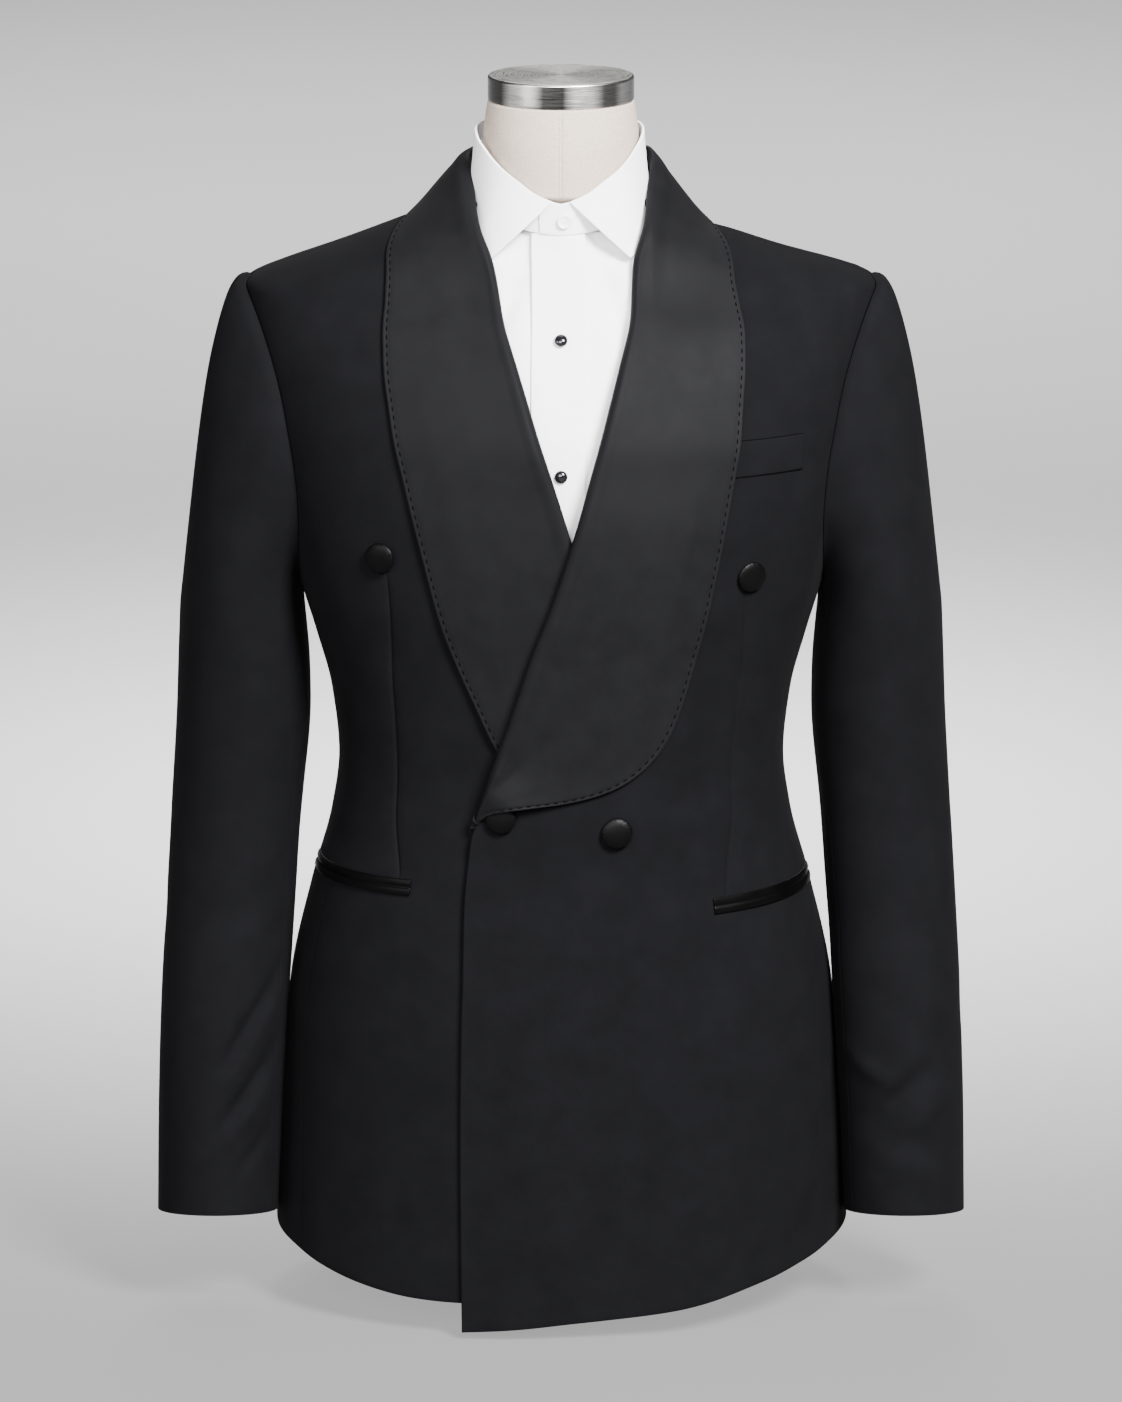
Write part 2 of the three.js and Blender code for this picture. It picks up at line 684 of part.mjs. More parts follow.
// A round fastener turned from a profile of radius and height, set on a place of the garment
function addRound(name, place, direction, profile, finish) {
  const points = profile.map(([radius, height]) => new THREE.Vector2(radius, height));
  const mesh = addPiece(name, new THREE.LatheGeometry(points, 16), finish);
  mesh.position.copy(place);
  mesh.quaternion.setFromUnitVectors(new Vector3(0, 1, 0), direction);
}

// A cloth-covered button on its shank
function addButton(name, turn, z, lift) {
  const radius = buttonDiameter / 2;
  const profile = [
    [0, 0.6],
    [3.5, 0.6],
    [3.5, 1.6],
    [radius - 1.6, 1.6],
    [radius, 2.9],
    [radius * 0.82, 4.7],
    [0, 5.6],
  ];
  addRound(name, lifted(turn, z, lift), outward(turn, z), profile, "wool");
}

const shirtLift = (turn, z) => -insideBy("shirt", turn, z);
const shirtNeckline = curves("turn z", [
  [0, 763],
  [30, 766],
  [60, 779],
  [90, 785],
  [180, 785],
]);

const shirtLevels = [
  70, 190, 300, 345, 392, 440, 500, 520, 555, 600, 645, 680, 706, 721, 737, 752, 768, 779, 791,
];
const shirtArmholeEase = 9;
const shirtColumns = { front: 8, back: 14 };
const necklineStart = 690;

// The outer border of a shirt front or back: side seam, armhole, then shoulder seam
function outerShirt(z, behind) {
  const bottom = armhole.middleZ - armhole.halfHeight - shirtArmholeEase;
  if (z < bottom || z > shoulderHeight + shirtArmholeEase) return 90;
  return armholeTurn(z, behind, shirtArmholeEase);
}

function addShirtBody(name, side, behind) {
  const place = (t, s) => {
    const level = levelAt(shirtLevels, t);
    const top = shirtLevels.at(-1);
    const gap = asTurn(seamGap / 2, level);
    const border = outerShirt(level, behind);
    const [from, to] = behind ? [border + gap, 360 - border - gap] : [gap, border - gap];
    const turn = between(from, to, s, level);
    const neckline = shirtNeckline.z(turn > 180 ? 360 - turn : turn);
    const drop = (top - neckline) * smoothstep(level, necklineStart, top);
    return mirrored(lifted(turn, level - drop, shirtLift(turn, level - drop)), side);
  };
  const columns = behind ? shirtColumns.back : shirtColumns.front;
  addPiece(name, wall(shirtLevels.length - 1, columns, facing(side) * shirtWall, place), "cotton");
}

// The strip down the shirt's centre front
function addPlacket() {
  const top = shirtNeckline.z(0) - 0.5;
  const levels = shirtLevels.filter((level) => level > placket.bottom);
  const place = (t, s) => {
    const level = levelAt(levels, t);
    const z = level - (shirtLevels.at(-1) - top) * smoothstep(level, necklineStart, shirtLevels.at(-1));
    const x = mix(placket.right, placket.left, s);
    const turn = Math.atan2(x, jacket.front(z) + shirtLift(0, z)) / DEGREE;
    const proud = seamGap + 0.9 * smoothstep(level, 690, 740);
    return lifted(turn, z, shirtLift(turn, z) + proud + placket.wall);
  };
  addPiece("shirt_placket", wall(levels.length - 1, 3, placket.wall, place), "cotton");
}

// The shirt collar's band round the neck, its ends lapped at the front
const band = { off: 0.6, wall: 1, lap: 1.3, lapFrom: -2, lapTo: 58, startTurn: -14, endTurn: 352 };
const bandBottom = curves("turn z", [
  [0, 763.6],
  [28, 767],
  [45, 778],
  [60, 784],
  [90, 792],
  [180, 793],
]);
const bandTop = curves("turn z", [
  [0, 786],
  [40, 797],
  [90, 820],
  [180, 824],
]);
const foldedTurn = (turn) => Math.abs(((((turn + 180) % 360) + 360) % 360) - 180);

function addBand() {
  const place = (t, s) => {
    const turn = mix(band.startTurn, band.endTurn, s);
    const lap = band.lap * (1 - smoothstep(turn, band.lapFrom, band.lapTo));
    const z = mix(bandBottom.z(foldedTurn(turn)), bandTop.z(foldedTurn(turn)), t);
    return lifted(turn, z, band.off + band.wall + lap, neck);
  };
  addPiece("collar_band", wall(2, 30, band.wall, place), "cotton");
}

// The turned-down collar: its fold line and its lower edge from the front to the centre back, as
// turns and heights round the neck and how far off it they are
const leaf = { wall: 1, rows: 4, columns: 32, belly: 2.4 };
const leafRows = curves("along foldTurn foldZ foldOff edgeTurn edgeZ edgeOff", [
  [0, 6, 787, 4.4, 35.4, 750, 23.5],
  [0.1, 16, 791, 4.2, 39.1, 757, 19.5],
  [0.22, 31, 800, 3.6, 46, 768, 14],
  [0.3, 42, 806, 3.4, 52, 777, 5],
  [0.36, 50, 811, 3.3, 57, 784, 3.5],
  [0.5, 68, 822, 3.1, 73, 791, 3.3],
  [0.7, 95, 830, 3.3, 96, 793, 3.4],
  [1, 180, 833, 3.5, 180, 795, 3.4],
]);

function addCollar() {
  const place = (t, s) => {
    const share = 1 - Math.abs(1 - 2 * s);
    const row = Object.fromEntries(Object.entries(leafRows).map(([name, curve]) => [name, curve(share)]));
    const fold = lifted(row.foldTurn, row.foldZ, row.foldOff, neck);
    const edge = lifted(row.edgeTurn, row.edgeZ, row.edgeOff, neck);
    const belly = (0.2 + leaf.belly * (1 - smoothstep(share, 0.2, 0.45))) * Math.sin(Math.PI * (1 - t));
    const point = edge.lerp(fold, t).addScaledVector(outward(row.foldTurn, row.foldZ, neck), belly);
    return s <= 0.5 ? point : new Vector3(-point.x, point.y, point.z);
  };
  addPiece("shirt_collar", wall(leaf.rows, leaf.columns, leaf.wall, place), "cotton");
}

function addStud(name, z, off) {
  const radius = studDiameter / 2;
  const profile = [
    [0, 0.6],
    [radius * 0.55, 0.6],
    [radius * 0.55, 1],
    [radius, 1.2],
    [radius * 0.92, 2.2],
    [radius * 0.55, 3.1],
    [0, 3.4],
  ];
  const lift = shirtLift(0, z) + placket.wall + off;
  addRound(name, lifted(0, z, lift), outward(0, z), profile, "onyx");
}

function addCollarButton() {
  const radius = shirtButtonDiameter / 2;
  const profile = [
    [0, 0.3],
    [radius - 0.4, 0.3],
    [radius, 0.9],
    [radius - 0.5, 1.9],
    [radius - 1.4, 1.5],
    [0, 1.5],
  ];
  const [turn, z] = [2, 773.7];
  const lift = band.off + band.wall + band.lap + 0.2;
  addRound("collar_button", lifted(turn, z, lift, neck), outward(turn, z, neck), profile, "pearl");
}

// The dress form: a linen torso and neck, a steel cap and a foot
const formCount = 28;
const torsoRings = [60, 66, 120, 220, 310, 392, 470, 545, 600, 645, 680, 706, 721, 737, 752, 768, 779, 786];
const neckRings = [791, 808, 826, 838, 846.6];
const torsoEnd = { flatBelow: 100, edge: 5 };

function addForm() {
  const turns = Array.from({ length: formCount }, (_, k) => (k * 360) / formCount - 180);
  const torso = torsoRings.map((z, i) =>
    turns.map((evenTurn) => {
      const turn = Math.sign(evenTurn) * between(0, 180, Math.abs(evenTurn) / 180, z);
      const edge = i === 0 ? torsoEnd.edge : 0;
      const point = lifted(turn, z, -insideBy("form", turn, z) - edge);
      return z < torsoEnd.flatBelow ? point.setZ(z) : point;
    }),
  );
  const column = neckRings.map((z) => turns.map((turn) => lifted(turn, z, 0, neck)));
  addPiece("form_torso", lump([...torso, ...column]), "linen");
}

function addCap() {
  const { radius, bottom, top, edge } = capSize;
  const profile = [
    [0, bottom],
    [radius - 0.6, bottom],
    [radius, bottom + 0.6],
    [radius, top - edge],
    [radius - edge * 0.3, top - edge * 0.3],
    [radius - edge, top],
    [0, top],
  ];
  const points = profile.map(([x, y]) => new THREE.Vector2(x, y));
  const mesh = addPiece("neck_cap", new THREE.LatheGeometry(points, 32), "steel");
  mesh.rotation.x = Math.PI / 2;
}

function addBase() {
  const { halfWidth, halfDepth, middleY, height } = baseSize;
  const ring = (z, shrink) =>
    Array.from({ length: 28 }, (_, k) => {
      const angle = (k * 2 * Math.PI) / 28;
      const x = (halfWidth - shrink) * Math.cos(angle);
      return new Vector3(x, middleY + (halfDepth - shrink) * Math.sin(angle), z);
    });
  const rings = [ring(0, 2), ring(2, 0), ring(16, 0), ring(20, 6), ring(24, 40), ring(height + 0.7, 46)];
  addPiece("form_base", lump(rings), "linen");
}

for (const side of ["left", "right"]) {
  addFront(side);
  addSide(side);
  addBack(side);
  addSleevePiece("upper_sleeve", side, backSleeveSeam - 360, frontSleeveSeam, 14);
  addSleevePiece("under_sleeve", side, frontSleeveSeam, backSleeveSeam, 4);
  addShawl(side);
}
addWelt("hip_welt_left", "left", hipWelt, 305.6, 14, 3, "satin");
addWelt("hip_welt_right", "right", hipWelt, 316.4, 14, -1, "satin");
addWelt("chest_welt", "left", chestWelt, 619, 6, 1.5, "wool");

const buttons = [
  { name: "button_upper_left", turn: 51.2, z: 536.3, lift: -0.4 },
  { name: "button_upper_right", turn: -48.4, z: 550.5, lift: -0.4 },
  { name: "button_lower_left", turn: 18.2, z: 356.7, lift: overlapLift("left", 18.2, 356.7) },
  { name: "button_fastened", turn: -20.3, z: 366.4, lift: overlapLift("left", -20.3, 366.4) },
];
for (const { name, turn, z, lift } of buttons) addButton(name, turn, z, lift);

addShirtBody("shirt_front_left", "left", false);
addShirtBody("shirt_front_right", "right", false);
addShirtBody("shirt_back", "left", true);
addPlacket();
addBand();
addCollar();
addCollarButton();
addStud("stud_upper", 698.7, 0.6);
addStud("stud_lower", 609.2, -0.2);
addForm();
addCap();
addBase();

export default tuxedo;
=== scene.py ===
"""A double-breasted dinner jacket with a satin shawl collar over a dress shirt, on a limbless dress form.

Tables and sizes are in millimetres and the scene is in metres. The chest faces -Y and the wearer's left
is +X. A place on the body is a turn and a height: the turn is in degrees round the body from the centre
front, positive towards the wearer's left. Tables give smooth curves by their first column.
"""

from types import SimpleNamespace

import bpy
import numpy as np
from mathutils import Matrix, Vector


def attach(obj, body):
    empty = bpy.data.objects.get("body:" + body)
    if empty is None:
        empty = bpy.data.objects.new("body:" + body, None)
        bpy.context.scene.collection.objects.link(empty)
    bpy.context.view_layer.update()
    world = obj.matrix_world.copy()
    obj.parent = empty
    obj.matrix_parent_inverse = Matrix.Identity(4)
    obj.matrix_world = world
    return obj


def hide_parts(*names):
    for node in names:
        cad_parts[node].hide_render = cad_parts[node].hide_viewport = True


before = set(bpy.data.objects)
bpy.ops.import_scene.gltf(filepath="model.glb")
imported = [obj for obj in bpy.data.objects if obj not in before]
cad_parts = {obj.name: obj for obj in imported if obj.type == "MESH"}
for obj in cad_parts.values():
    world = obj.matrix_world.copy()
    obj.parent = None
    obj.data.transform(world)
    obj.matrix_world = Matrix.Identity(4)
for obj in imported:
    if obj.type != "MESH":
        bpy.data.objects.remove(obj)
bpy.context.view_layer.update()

MM = 0.001
SIDES = ("left", "right")

WOOL_WALL = 1.8
SATIN_WALL = 2.6
SHIRT_WALL = 1.0
SEAM_GAP = 0.04
SEAM_ROUND = 0.55
NECK_SEAM_HEIGHT = 787
SHOULDER_HEIGHT = 727
ARMHOLE = SimpleNamespace(
    middle_y=8, middle_z=619.5, half_height=107.5, front=67, front_scoop=0.2, back=66, back_scoop=0.1
)
HEM_FADE = 200
HEM_LEVEL = 20


def smooth(xs, ys):
    """A smooth curve through points, without overshoot."""
    xs, ys = np.asarray(xs, float), np.asarray(ys, float)
    steps = np.diff(xs)
    slopes = np.diff(ys) / steps
    tangents = np.concatenate([slopes[:1], np.zeros(len(xs) - 2), slopes[-1:]])
    near = 2 * steps[1:] + steps[:-1]
    far = steps[1:] + 2 * steps[:-1]
    same = slopes[:-1] * slopes[1:] > 0
    before = np.where(same, slopes[:-1], 1)
    after = np.where(same, slopes[1:], 1)
    tangents[1:-1] = np.where(same, (near + far) / (near / before + far / after), 0)

    def at(value):
        x = np.clip(value, xs[0], xs[-1])
        i = np.clip(np.searchsorted(xs, x, side="right") - 1, 0, len(xs) - 2)
        step = steps[i]
        t = (x - xs[i]) / step
        start = (1 + 2 * t) * (1 - t) ** 2 * ys[i] + t * (1 - t) ** 2 * step * tangents[i]
        return start + t * t * (3 - 2 * t) * ys[i + 1] + t * t * (t - 1) * step * tangents[i + 1]

    return at


def softened(curve, reach, low, high):
    """The mean of a curve over a short reach, which rounds the joins of its pieces and keeps its ends."""
    offsets = np.linspace(-1, 1, 7)

    def at(value):
        value = np.asarray(value, float)
        near = np.clip(np.minimum(value - low, high - value), 0, reach)
        return sum(curve(value + offset * near) for offset in offsets) / len(offsets)

    return at


def curves(names, rows, reach=0):
    table = np.array(rows, float)
    made = {name: smooth(table[:, 0], table[:, k + 1]) for k, name in enumerate(names.split()[1:])}
    if reach:
        made = {name: softened(curve, reach, table[0, 0], table[-1, 0]) for name, curve in made.items()}
    return SimpleNamespace(**made)


JACKET = curves("z half_width front back middle square", [
    [-10, 203.4, 146, 128, 9, 2.3],
    [45, 202.3, 145, 126, 9, 2.3],
    [130, 198.3, 143, 121, 9, 2.3],
    [225, 190.8, 136, 115, 6, 2.3],
    [300, 174.5, 124, 110, 0, 2.35],
    [350, 161, 119, 101, 0, 2.4],
    [392, 155.7, 117, 97, 0, 2.4],
    [440, 160.5, 120, 99, 0, 2.4],
    [478, 170.5, 124, 104, 1, 2.4],
    [520, 183, 129, 111, 2, 2.4],
    [570, 194, 131, 117, 3, 2.4],
    [620, 203, 129, 119, 5, 2.4],
    [665, 210.5, 117, 116, 7, 2.4],
    [700, 217, 98, 103, 8, 2.4],
    [724, 219.5, 80, 88, 8, 2.4],
    [731, 205, 76, 83, 8, 2.4],
    [750, 151, 68, 72, 8, 2.4],
    [768, 104, 63, 63, 7, 2.3],
    [780, 71, 59, 59, 6, 2.2],
    [788, 62, 58, 58, 5, 2],
    [800, 60.5, 57, 60, 4, 2],
    [818, 60, 56, 62, 2, 2],
], reach=4)

NECK = curves("z half_width front back middle square", [
    [758, 54.5, 58, 55, 4, 2],
    [775, 54.5, 57, 55, 4, 2],
    [790, 54.2, 56, 55, 3, 2],
    [808, 54, 55, 54, 1, 2],
    [826, 53.6, 53.6, 53.6, 0, 2],
    [840, 52, 52, 52, 0, 2],
    [850, 50.4, 50.4, 50.4, 0, 2],
])

INSIDE = curves("z shirt form", [
    [-10, 9, 30],
    [130, 9, 26],
    [225, 9, 20],
    [300, 9, 15],
    [640, 9, 17],
    [690, 6.5, 15],
    [706, 4.6, 14],
    [721, 3.4, 14],
    [737, 3.4, 6.4],
    [756, 4.2, 7],
    [776, 4.2, 7.6],
    [786, 4.2, 8],
    [818, 4.2, 8],
])

# How much lower the wearer's left shoulder hangs, by the distance from the middle
LOWER_SHOULDER = curves("x by", [
    [62, 0],
    [74, 5.5],
    [92, 8],
    [120, 5.5],
    [150, 4],
    [205, 0],
])
SHOULDER_FADE = (690, 745)
NECK_HOLLOW = SimpleNamespace(turn=32, spread=22, start=736, end=768, depth=9)

HEM = curves("turn left right", [
    [-28, 4.9, 25.6],
    [-16, 7.4, 25.6],
    [0, 12, 25.6],
    [12.3, 15, 25.6],
    [29.3, 20, 25.6],
    [39.7, 25, 26.5],
    [46.5, 29.4, 28.9],
    [54, 34, 33],
    [63, 41, 40],
    [73, 48, 47.5],
    [88, 53, 53],
    [180, 46, 46],
], reach=3)

FRONT_EDGE = curves("z left right", [
    [0, -25.9, -25.9],
    [242, -27.9, -27.9],
    [311, -29.4, -29],
    [350, -28.4, -28],
    [373, -25.8, -26.5],
    [416, -20.2, -22],
    [460, -13.2, -16.7],
    [520, -3.3, -8.6],
    [571, 4, -2.4],
    [622, 10.2, 4.9],
    [673, 18.3, 13.6],
    [698, 23.6, 19.4],
    [722, 31, 27.6],
    [742, 36.8, 34.2],
    [761, 42, 41],
    [788, 57, 56],
])

OVERLAP = curves("z left", [
    [-10, 4.0],
    [330, 4.0],
    [374, 7.4],
    [570, 7.4],
    [612, 4.4],
    [700, 0],
    [818, 0],
])
OVERLAP_FADE = (30, 52)

SIDE_SEAM = curves("z turn", [
    [-10, 68],
    [66, 68.5],
    [225, 71],
    [392, 73],
    [560, 73],
])

BACK_SEAM = curves("z turn", [
    [-10, 113],
    [225, 111],
    [392, 106],
    [560, 110],
])

DART = curves("z left right", [
    [-10, 46, 46],
    [200, 46.5, 46],
    [312, 49, 48],
    [375, 53.6, 51.6],
    [446, 53.4, 50.7],
    [523, 50.4, 47.6],
    [600, 49, 47.5],
    [700, 56, 55],
    [742, 63, 62],
    [788, 73, 73],
])
DART_ENDS = {"left": (312, 540), "right": (325, 556)}

SHAWL_NAMES = "along fold_turn fold_z edge_turn edge_z"
SHAWL = {
    "left": curves(SHAWL_NAMES, [
        [0, -27.9, 361, -27.7, 358.5],
        [0.015, -27, 367, -26.4, 364],
        [0.03, -25.8, 376, -23.5, 371.5],
        [0.05, -24.1, 389, -16, 377],
        [0.1, -21, 411, 2, 381.5],
        [0.16, -17, 435, 17, 391],
        [0.22, -13.2, 460, 28, 410],
        [0.28, -9.1, 487, 35, 441],
        [0.36, -3.3, 520, 39.5, 495],
        [0.46, 4, 571, 43.2, 560],
        [0.56, 11.5, 630, 46.9, 622],
        [0.64, 19, 676, 50.6, 664],
        [0.72, 29.8, 718, 56.5, 706],
        [0.8, 40.3, 760, 64.5, 744],
        [0.83, 48.5, 773, 70, 754],
        [0.86, 66, 790, 76.5, 763.5],
        [0.91, 88, 808, 95, 769],
        [0.95, 115, 813, 125, 765],
        [1, 180, 814, 180, 758],
    ], reach=0.008),
    "right": curves(SHAWL_NAMES, [
        [0, -26.4, 374, -26, 368],
        [0.04, -24.5, 390, -16, 377],
        [0.1, -22, 413, -4, 385.5],
        [0.16, -19.5, 436, 9, 396],
        [0.22, -16.5, 462, 19, 411],
        [0.28, -13, 490, 26.5, 447],
        [0.36, -8, 526, 33.4, 495],
        [0.46, -2.4, 571, 38.7, 560],
        [0.56, 6.1, 630, 44, 622],
        [0.64, 14.2, 676, 48.8, 664],
        [0.72, 26, 718, 55.5, 706],
        [0.8, 39.6, 760, 65, 744],
        [0.83, 48, 773, 71, 754],
        [0.86, 65, 789, 77.4, 763],
        [0.91, 88, 808, 95, 769],
        [0.95, 115, 813, 125, 765],
        [1, 180, 814, 180, 758],
    ], reach=0.008),
}

# A lapel's section: the share across, how far ahead of the roll line, and how far above the front
LAPEL_SECTION = [
    (0, -0.4, -1.8),
    (0, 0.2, 1.6),
    (0, -0.8, 5),
    (0, -4.2, 7.2),
    (0.14, 0, 6.5),
    (0.32, 0, 5.1),
    (0.55, 0, 4.3),
    (0.78, 0, 4),
    (1, 0, 3.8),
]
LAPEL_FLAT = 3.8

# The jacket collar's section: the share up the stand or down the fall, and how far out
COLLAR_STAND = [(0, 0.8), (0.42, 1.2), (0.8, 1.6), (1, 3.2)]
COLLAR_FALL = [(0.1, 4.8), (0.3, 4.6), (0.55, 3.2), (0.8, 1.4), (1, 0)]

SLEEVE = curves("z outer inner half_depth middle slant", [
    [65, 284.5, 199.8, 51, -33, 9.4],
    [137, 283.5, 196.6, 52, -28, 6.5],
    [209, 281.5, 191.8, 54, -19, 3],
    [281, 277.8, 187, 56, -4, 0],
    [353, 273.5, 181.6, 58, 5, 0],
    [425, 269, 175.2, 62, 8, 0],
    [452, 268, 175.6, 63, 8, 0],
    [497, 266, 179.2, 66, 7, 0],
], reach=12)
SLEEVE_TOP = 497
CUFF_HEIGHT = 65
FRONT_SLEEVE_SEAM = 150
BACK_SLEEVE_SEAM = 238
SLEEVE_RADIUS = 55
# Each sleeve piece: the angles of its seams and its columns
SLEEVE_PIECES = {
    "upper_sleeve": (BACK_SLEEVE_SEAM - 360, FRONT_SLEEVE_SEAM, 96),
    "under_sleeve": (FRONT_SLEEVE_SEAM, BACK_SLEEVE_SEAM, 36),
}

# Folds of the forearms: height, angle, slope, length, width and depth; a minus depth is a ridge
SLEEVE_FOLDS = {
    "right": [
        (203, 116, 1.2, 26, 13, 6.0),
        (154, 118, 1.05, 26, 12, 5.6),
        (300, 120, 0.5, 46, 20, 2.0),
        (250, 290, 0.4, 60, 18, 2.2),
    ],
    "left": [
        (156, 90, -0.6, 27, 12, 6.0),
        (118, 84, 0.35, 40, 13, 2.2),
        (286, 116, -0.4, 48, 20, 2.0),
        (236, 296, -0.4, 56, 18, 2.2),
    ],
}
# Finer folds that only the cloth shows, in the same columns
FINE_FOLDS = {
    "right": [
        (180, 108, 1.1, 26, 9, -1.6),
        (134, 112, 0.9, 22, 9, -1.4),
        (112, 128, 0.8, 18, 8, 2.0),
        (340, 60, 0.3, 44, 22, 1.2),
        (390, 100, -0.35, 40, 24, 1.0),
        (330, 250, 0.35, 40, 16, 1.2),
        (200, 280, 0.3, 40, 12, 1.2),
    ],
    "left": [
        (173, 122, 0.4, 24, 9, -2.6),
        (136, 76, -0.5, 26, 9, -1.6),
        (104, 92, 0.3, 40, 10, -1.0),
        (206, 70, 0.5, 46, 12, 1.2),
        (344, 64, -0.3, 44, 22, 1.2),
        (392, 104, 0.35, 40, 24, 1.0),
        (318, 250, -0.35, 40, 16, 1.2),
        (190, 282, -0.3, 40, 12, 1.2),
    ],
}


# Measures on the body

def sin(degrees):
    return np.sin(np.radians(degrees))


def cos(degrees):
    return np.cos(np.radians(degrees))


def mix(a, b, share):
    return a + (b - a) * share


def smoothstep(x, low, high):
    t = np.clip((np.asarray(x, float) - low) / (high - low), 0, 1)
    return t * t * (3 - 2 * t)


def bump(x, middle, spread):
    """A soft hump of height 1."""
    return np.exp(-(((x - middle) / spread) ** 2))


def hump(across, up, height, middle, spread, level, rise):
    """A soft round swelling of the cloth."""
    return height * bump(across, middle, spread) * bump(up, level, rise)


def unit(vectors):
    return vectors / np.maximum(np.linalg.norm(vectors, axis=-1, keepdims=True), 1e-9)


def stack(x, y, z):
    return np.stack(np.broadcast_arrays(x, y, z), axis=-1).astype(float)


def skin(turn, z, body=JACKET):
    """The outer face of a body of level sections, each a squared ellipse."""
    sideways, ahead = sin(turn), cos(turn)
    depth = np.where(ahead > 0, body.front(z), body.back(z))
    square = body.square(z)
    share = (np.abs(sideways) / body.half_width(z)) ** square + (np.abs(ahead) / depth) ** square
    reach = share ** (-1 / square)
    return stack(sideways * reach, body.middle(z) - ahead * reach, z)


def outward(turn, z, body=JACKET):
    across = skin(turn + 0.5, z, body) - skin(turn - 0.5, z, body)
    up = skin(turn, z + 0.5, body) - skin(turn, z - 0.5, body)
    return unit(np.cross(across, up))


def lifted(turn, z, lift, body=JACKET):
    turn, z = np.broadcast_arrays(np.asarray(turn, float), np.asarray(z, float))
    return skin(turn, z, body) + outward(turn, z, body) * np.asarray(lift)[..., None]


def as_turn(distance, z):
    return distance / (0.8 * JACKET.half_width(z) * np.radians(1))


def mirrored(points, side):
    return points if side == "left" else points * np.array([-1, 1, 1])


def facing(side):
    return 1 if side == "left" else -1


def armhole_y(angle):
    """The armhole seen from the side: 0 at the shoulder, 90 in front, 180 under the arm."""
    hole = ARMHOLE
    ahead = hole.front * sin(angle) * (1 - hole.front_scoop * cos(angle))
    behind = hole.back * sin(angle) * (1 - hole.back_scoop * cos(angle))
    return hole.middle_y - np.where(sin(angle) > 0, ahead, behind)


def turn_at(y, z):
    depth = np.where(y < JACKET.middle(z), JACKET.front(z), JACKET.back(z))
    share = np.minimum(1, np.abs(y - JACKET.middle(z)) / depth)
    x = JACKET.half_width(z) * (1 - share ** JACKET.square(z)) ** (1 / JACKET.square(z))
    return np.degrees(np.arctan2(x, JACKET.middle(z) - y))


def armhole_turn(z, behind, larger=0):
    up = np.clip((z - ARMHOLE.middle_z) / (ARMHOLE.half_height + larger), -1, 1)
    angle = np.degrees(np.arccos(up))
    aside = larger * np.sqrt(1 - up * up)
    y = armhole_y(360 - angle) + aside if behind else armhole_y(angle) - aside
    return turn_at(y, z)


def meets_armhole(seam_turn, behind, larger=0):
    """The height where a seam that climbs the body meets the armhole, for one seam or several."""
    low = np.zeros_like(seam_turn(ARMHOLE.middle_z)) + ARMHOLE.middle_z - ARMHOLE.half_height - larger
    high = np.zeros_like(low) + ARMHOLE.middle_z
    for _ in range(40):
        z = (low + high) / 2
        turn = armhole_turn(z, behind, larger)
        outside = seam_turn(z) > turn if behind else seam_turn(z) < turn
        low = np.where(outside, z, low)
        high = np.where(outside, high, z)
    return low


def outer_border(z, behind, larger=0):
    """Side seam, armhole, then shoulder seam."""
    seam = BACK_SEAM.turn if behind else SIDE_SEAM.turn
    border = np.where(z < meets_armhole(seam, behind, larger), seam(z), armhole_turn(z, behind, larger))
    return np.where(z > SHOULDER_HEIGHT + larger, 90, border)


def between(from_turn, to_turn, share, z):
    """A turn part of the way between two others, with shorter steps where the section curves more."""
    half_width = JACKET.half_width(z)

    def depth(turn):
        return np.where(cos(turn) > 0, JACKET.front(z), JACKET.back(z))

    def whole(angle, turn):
        return np.where(np.asarray(turn) > 180, angle + 360, angle)

    def phase(turn):
        return whole(np.degrees(np.arctan2(sin(turn) / half_width, cos(turn) / depth(turn))), turn)

    mixed = mix(phase(from_turn), phase(to_turn), share)
    return whole(np.degrees(np.arctan2(sin(mixed) * half_width, cos(mixed) * depth(mixed))), mixed)


def hung(z, hem_z):
    share = np.clip((HEM_FADE - z) / (HEM_FADE - HEM_LEVEL), 0, 1)
    return z + (hem_z - HEM_LEVEL) * share * share


def inside_by(name, turn, z):
    hollow = NECK_HOLLOW
    aside = bump(np.abs(turn), hollow.turn, hollow.spread) * (np.abs(turn) < 90)
    return getattr(INSIDE, name)(z) + hollow.depth * aside * smoothstep(z, hollow.start, hollow.end)


def overlap_lift(side, turn, z):
    if side == "right":
        return 0 * turn
    return OVERLAP.left(z) * (1 - smoothstep(turn, *OVERLAP_FADE))


# Meshes

def spaced(count, length, first=0.9, last=0.9):
    """Shares from 0 to 1 with short steps over the rounded edge at each end."""
    edge = np.array([0, 0.12, 0.4, 1])
    start = edge * first / length
    end = 1 - edge[::-1] * last / length
    return np.concatenate([start, np.linspace(start[-1], end[0], count + 1)[1:-1], end])


def grid_faces(rows, columns, closed=False):
    """Four-cornered faces of a grid of points, joined round its rows where it is closed."""
    across = columns if closed else columns - 1
    i, j = np.meshgrid(np.arange(rows - 1), np.arange(across), indexing="ij")
    after = (j + 1) % columns
    low, high = i * columns, (i + 1) * columns
    return np.stack([low + j, low + after, high + after, high + j], -1).reshape(-1, 4)


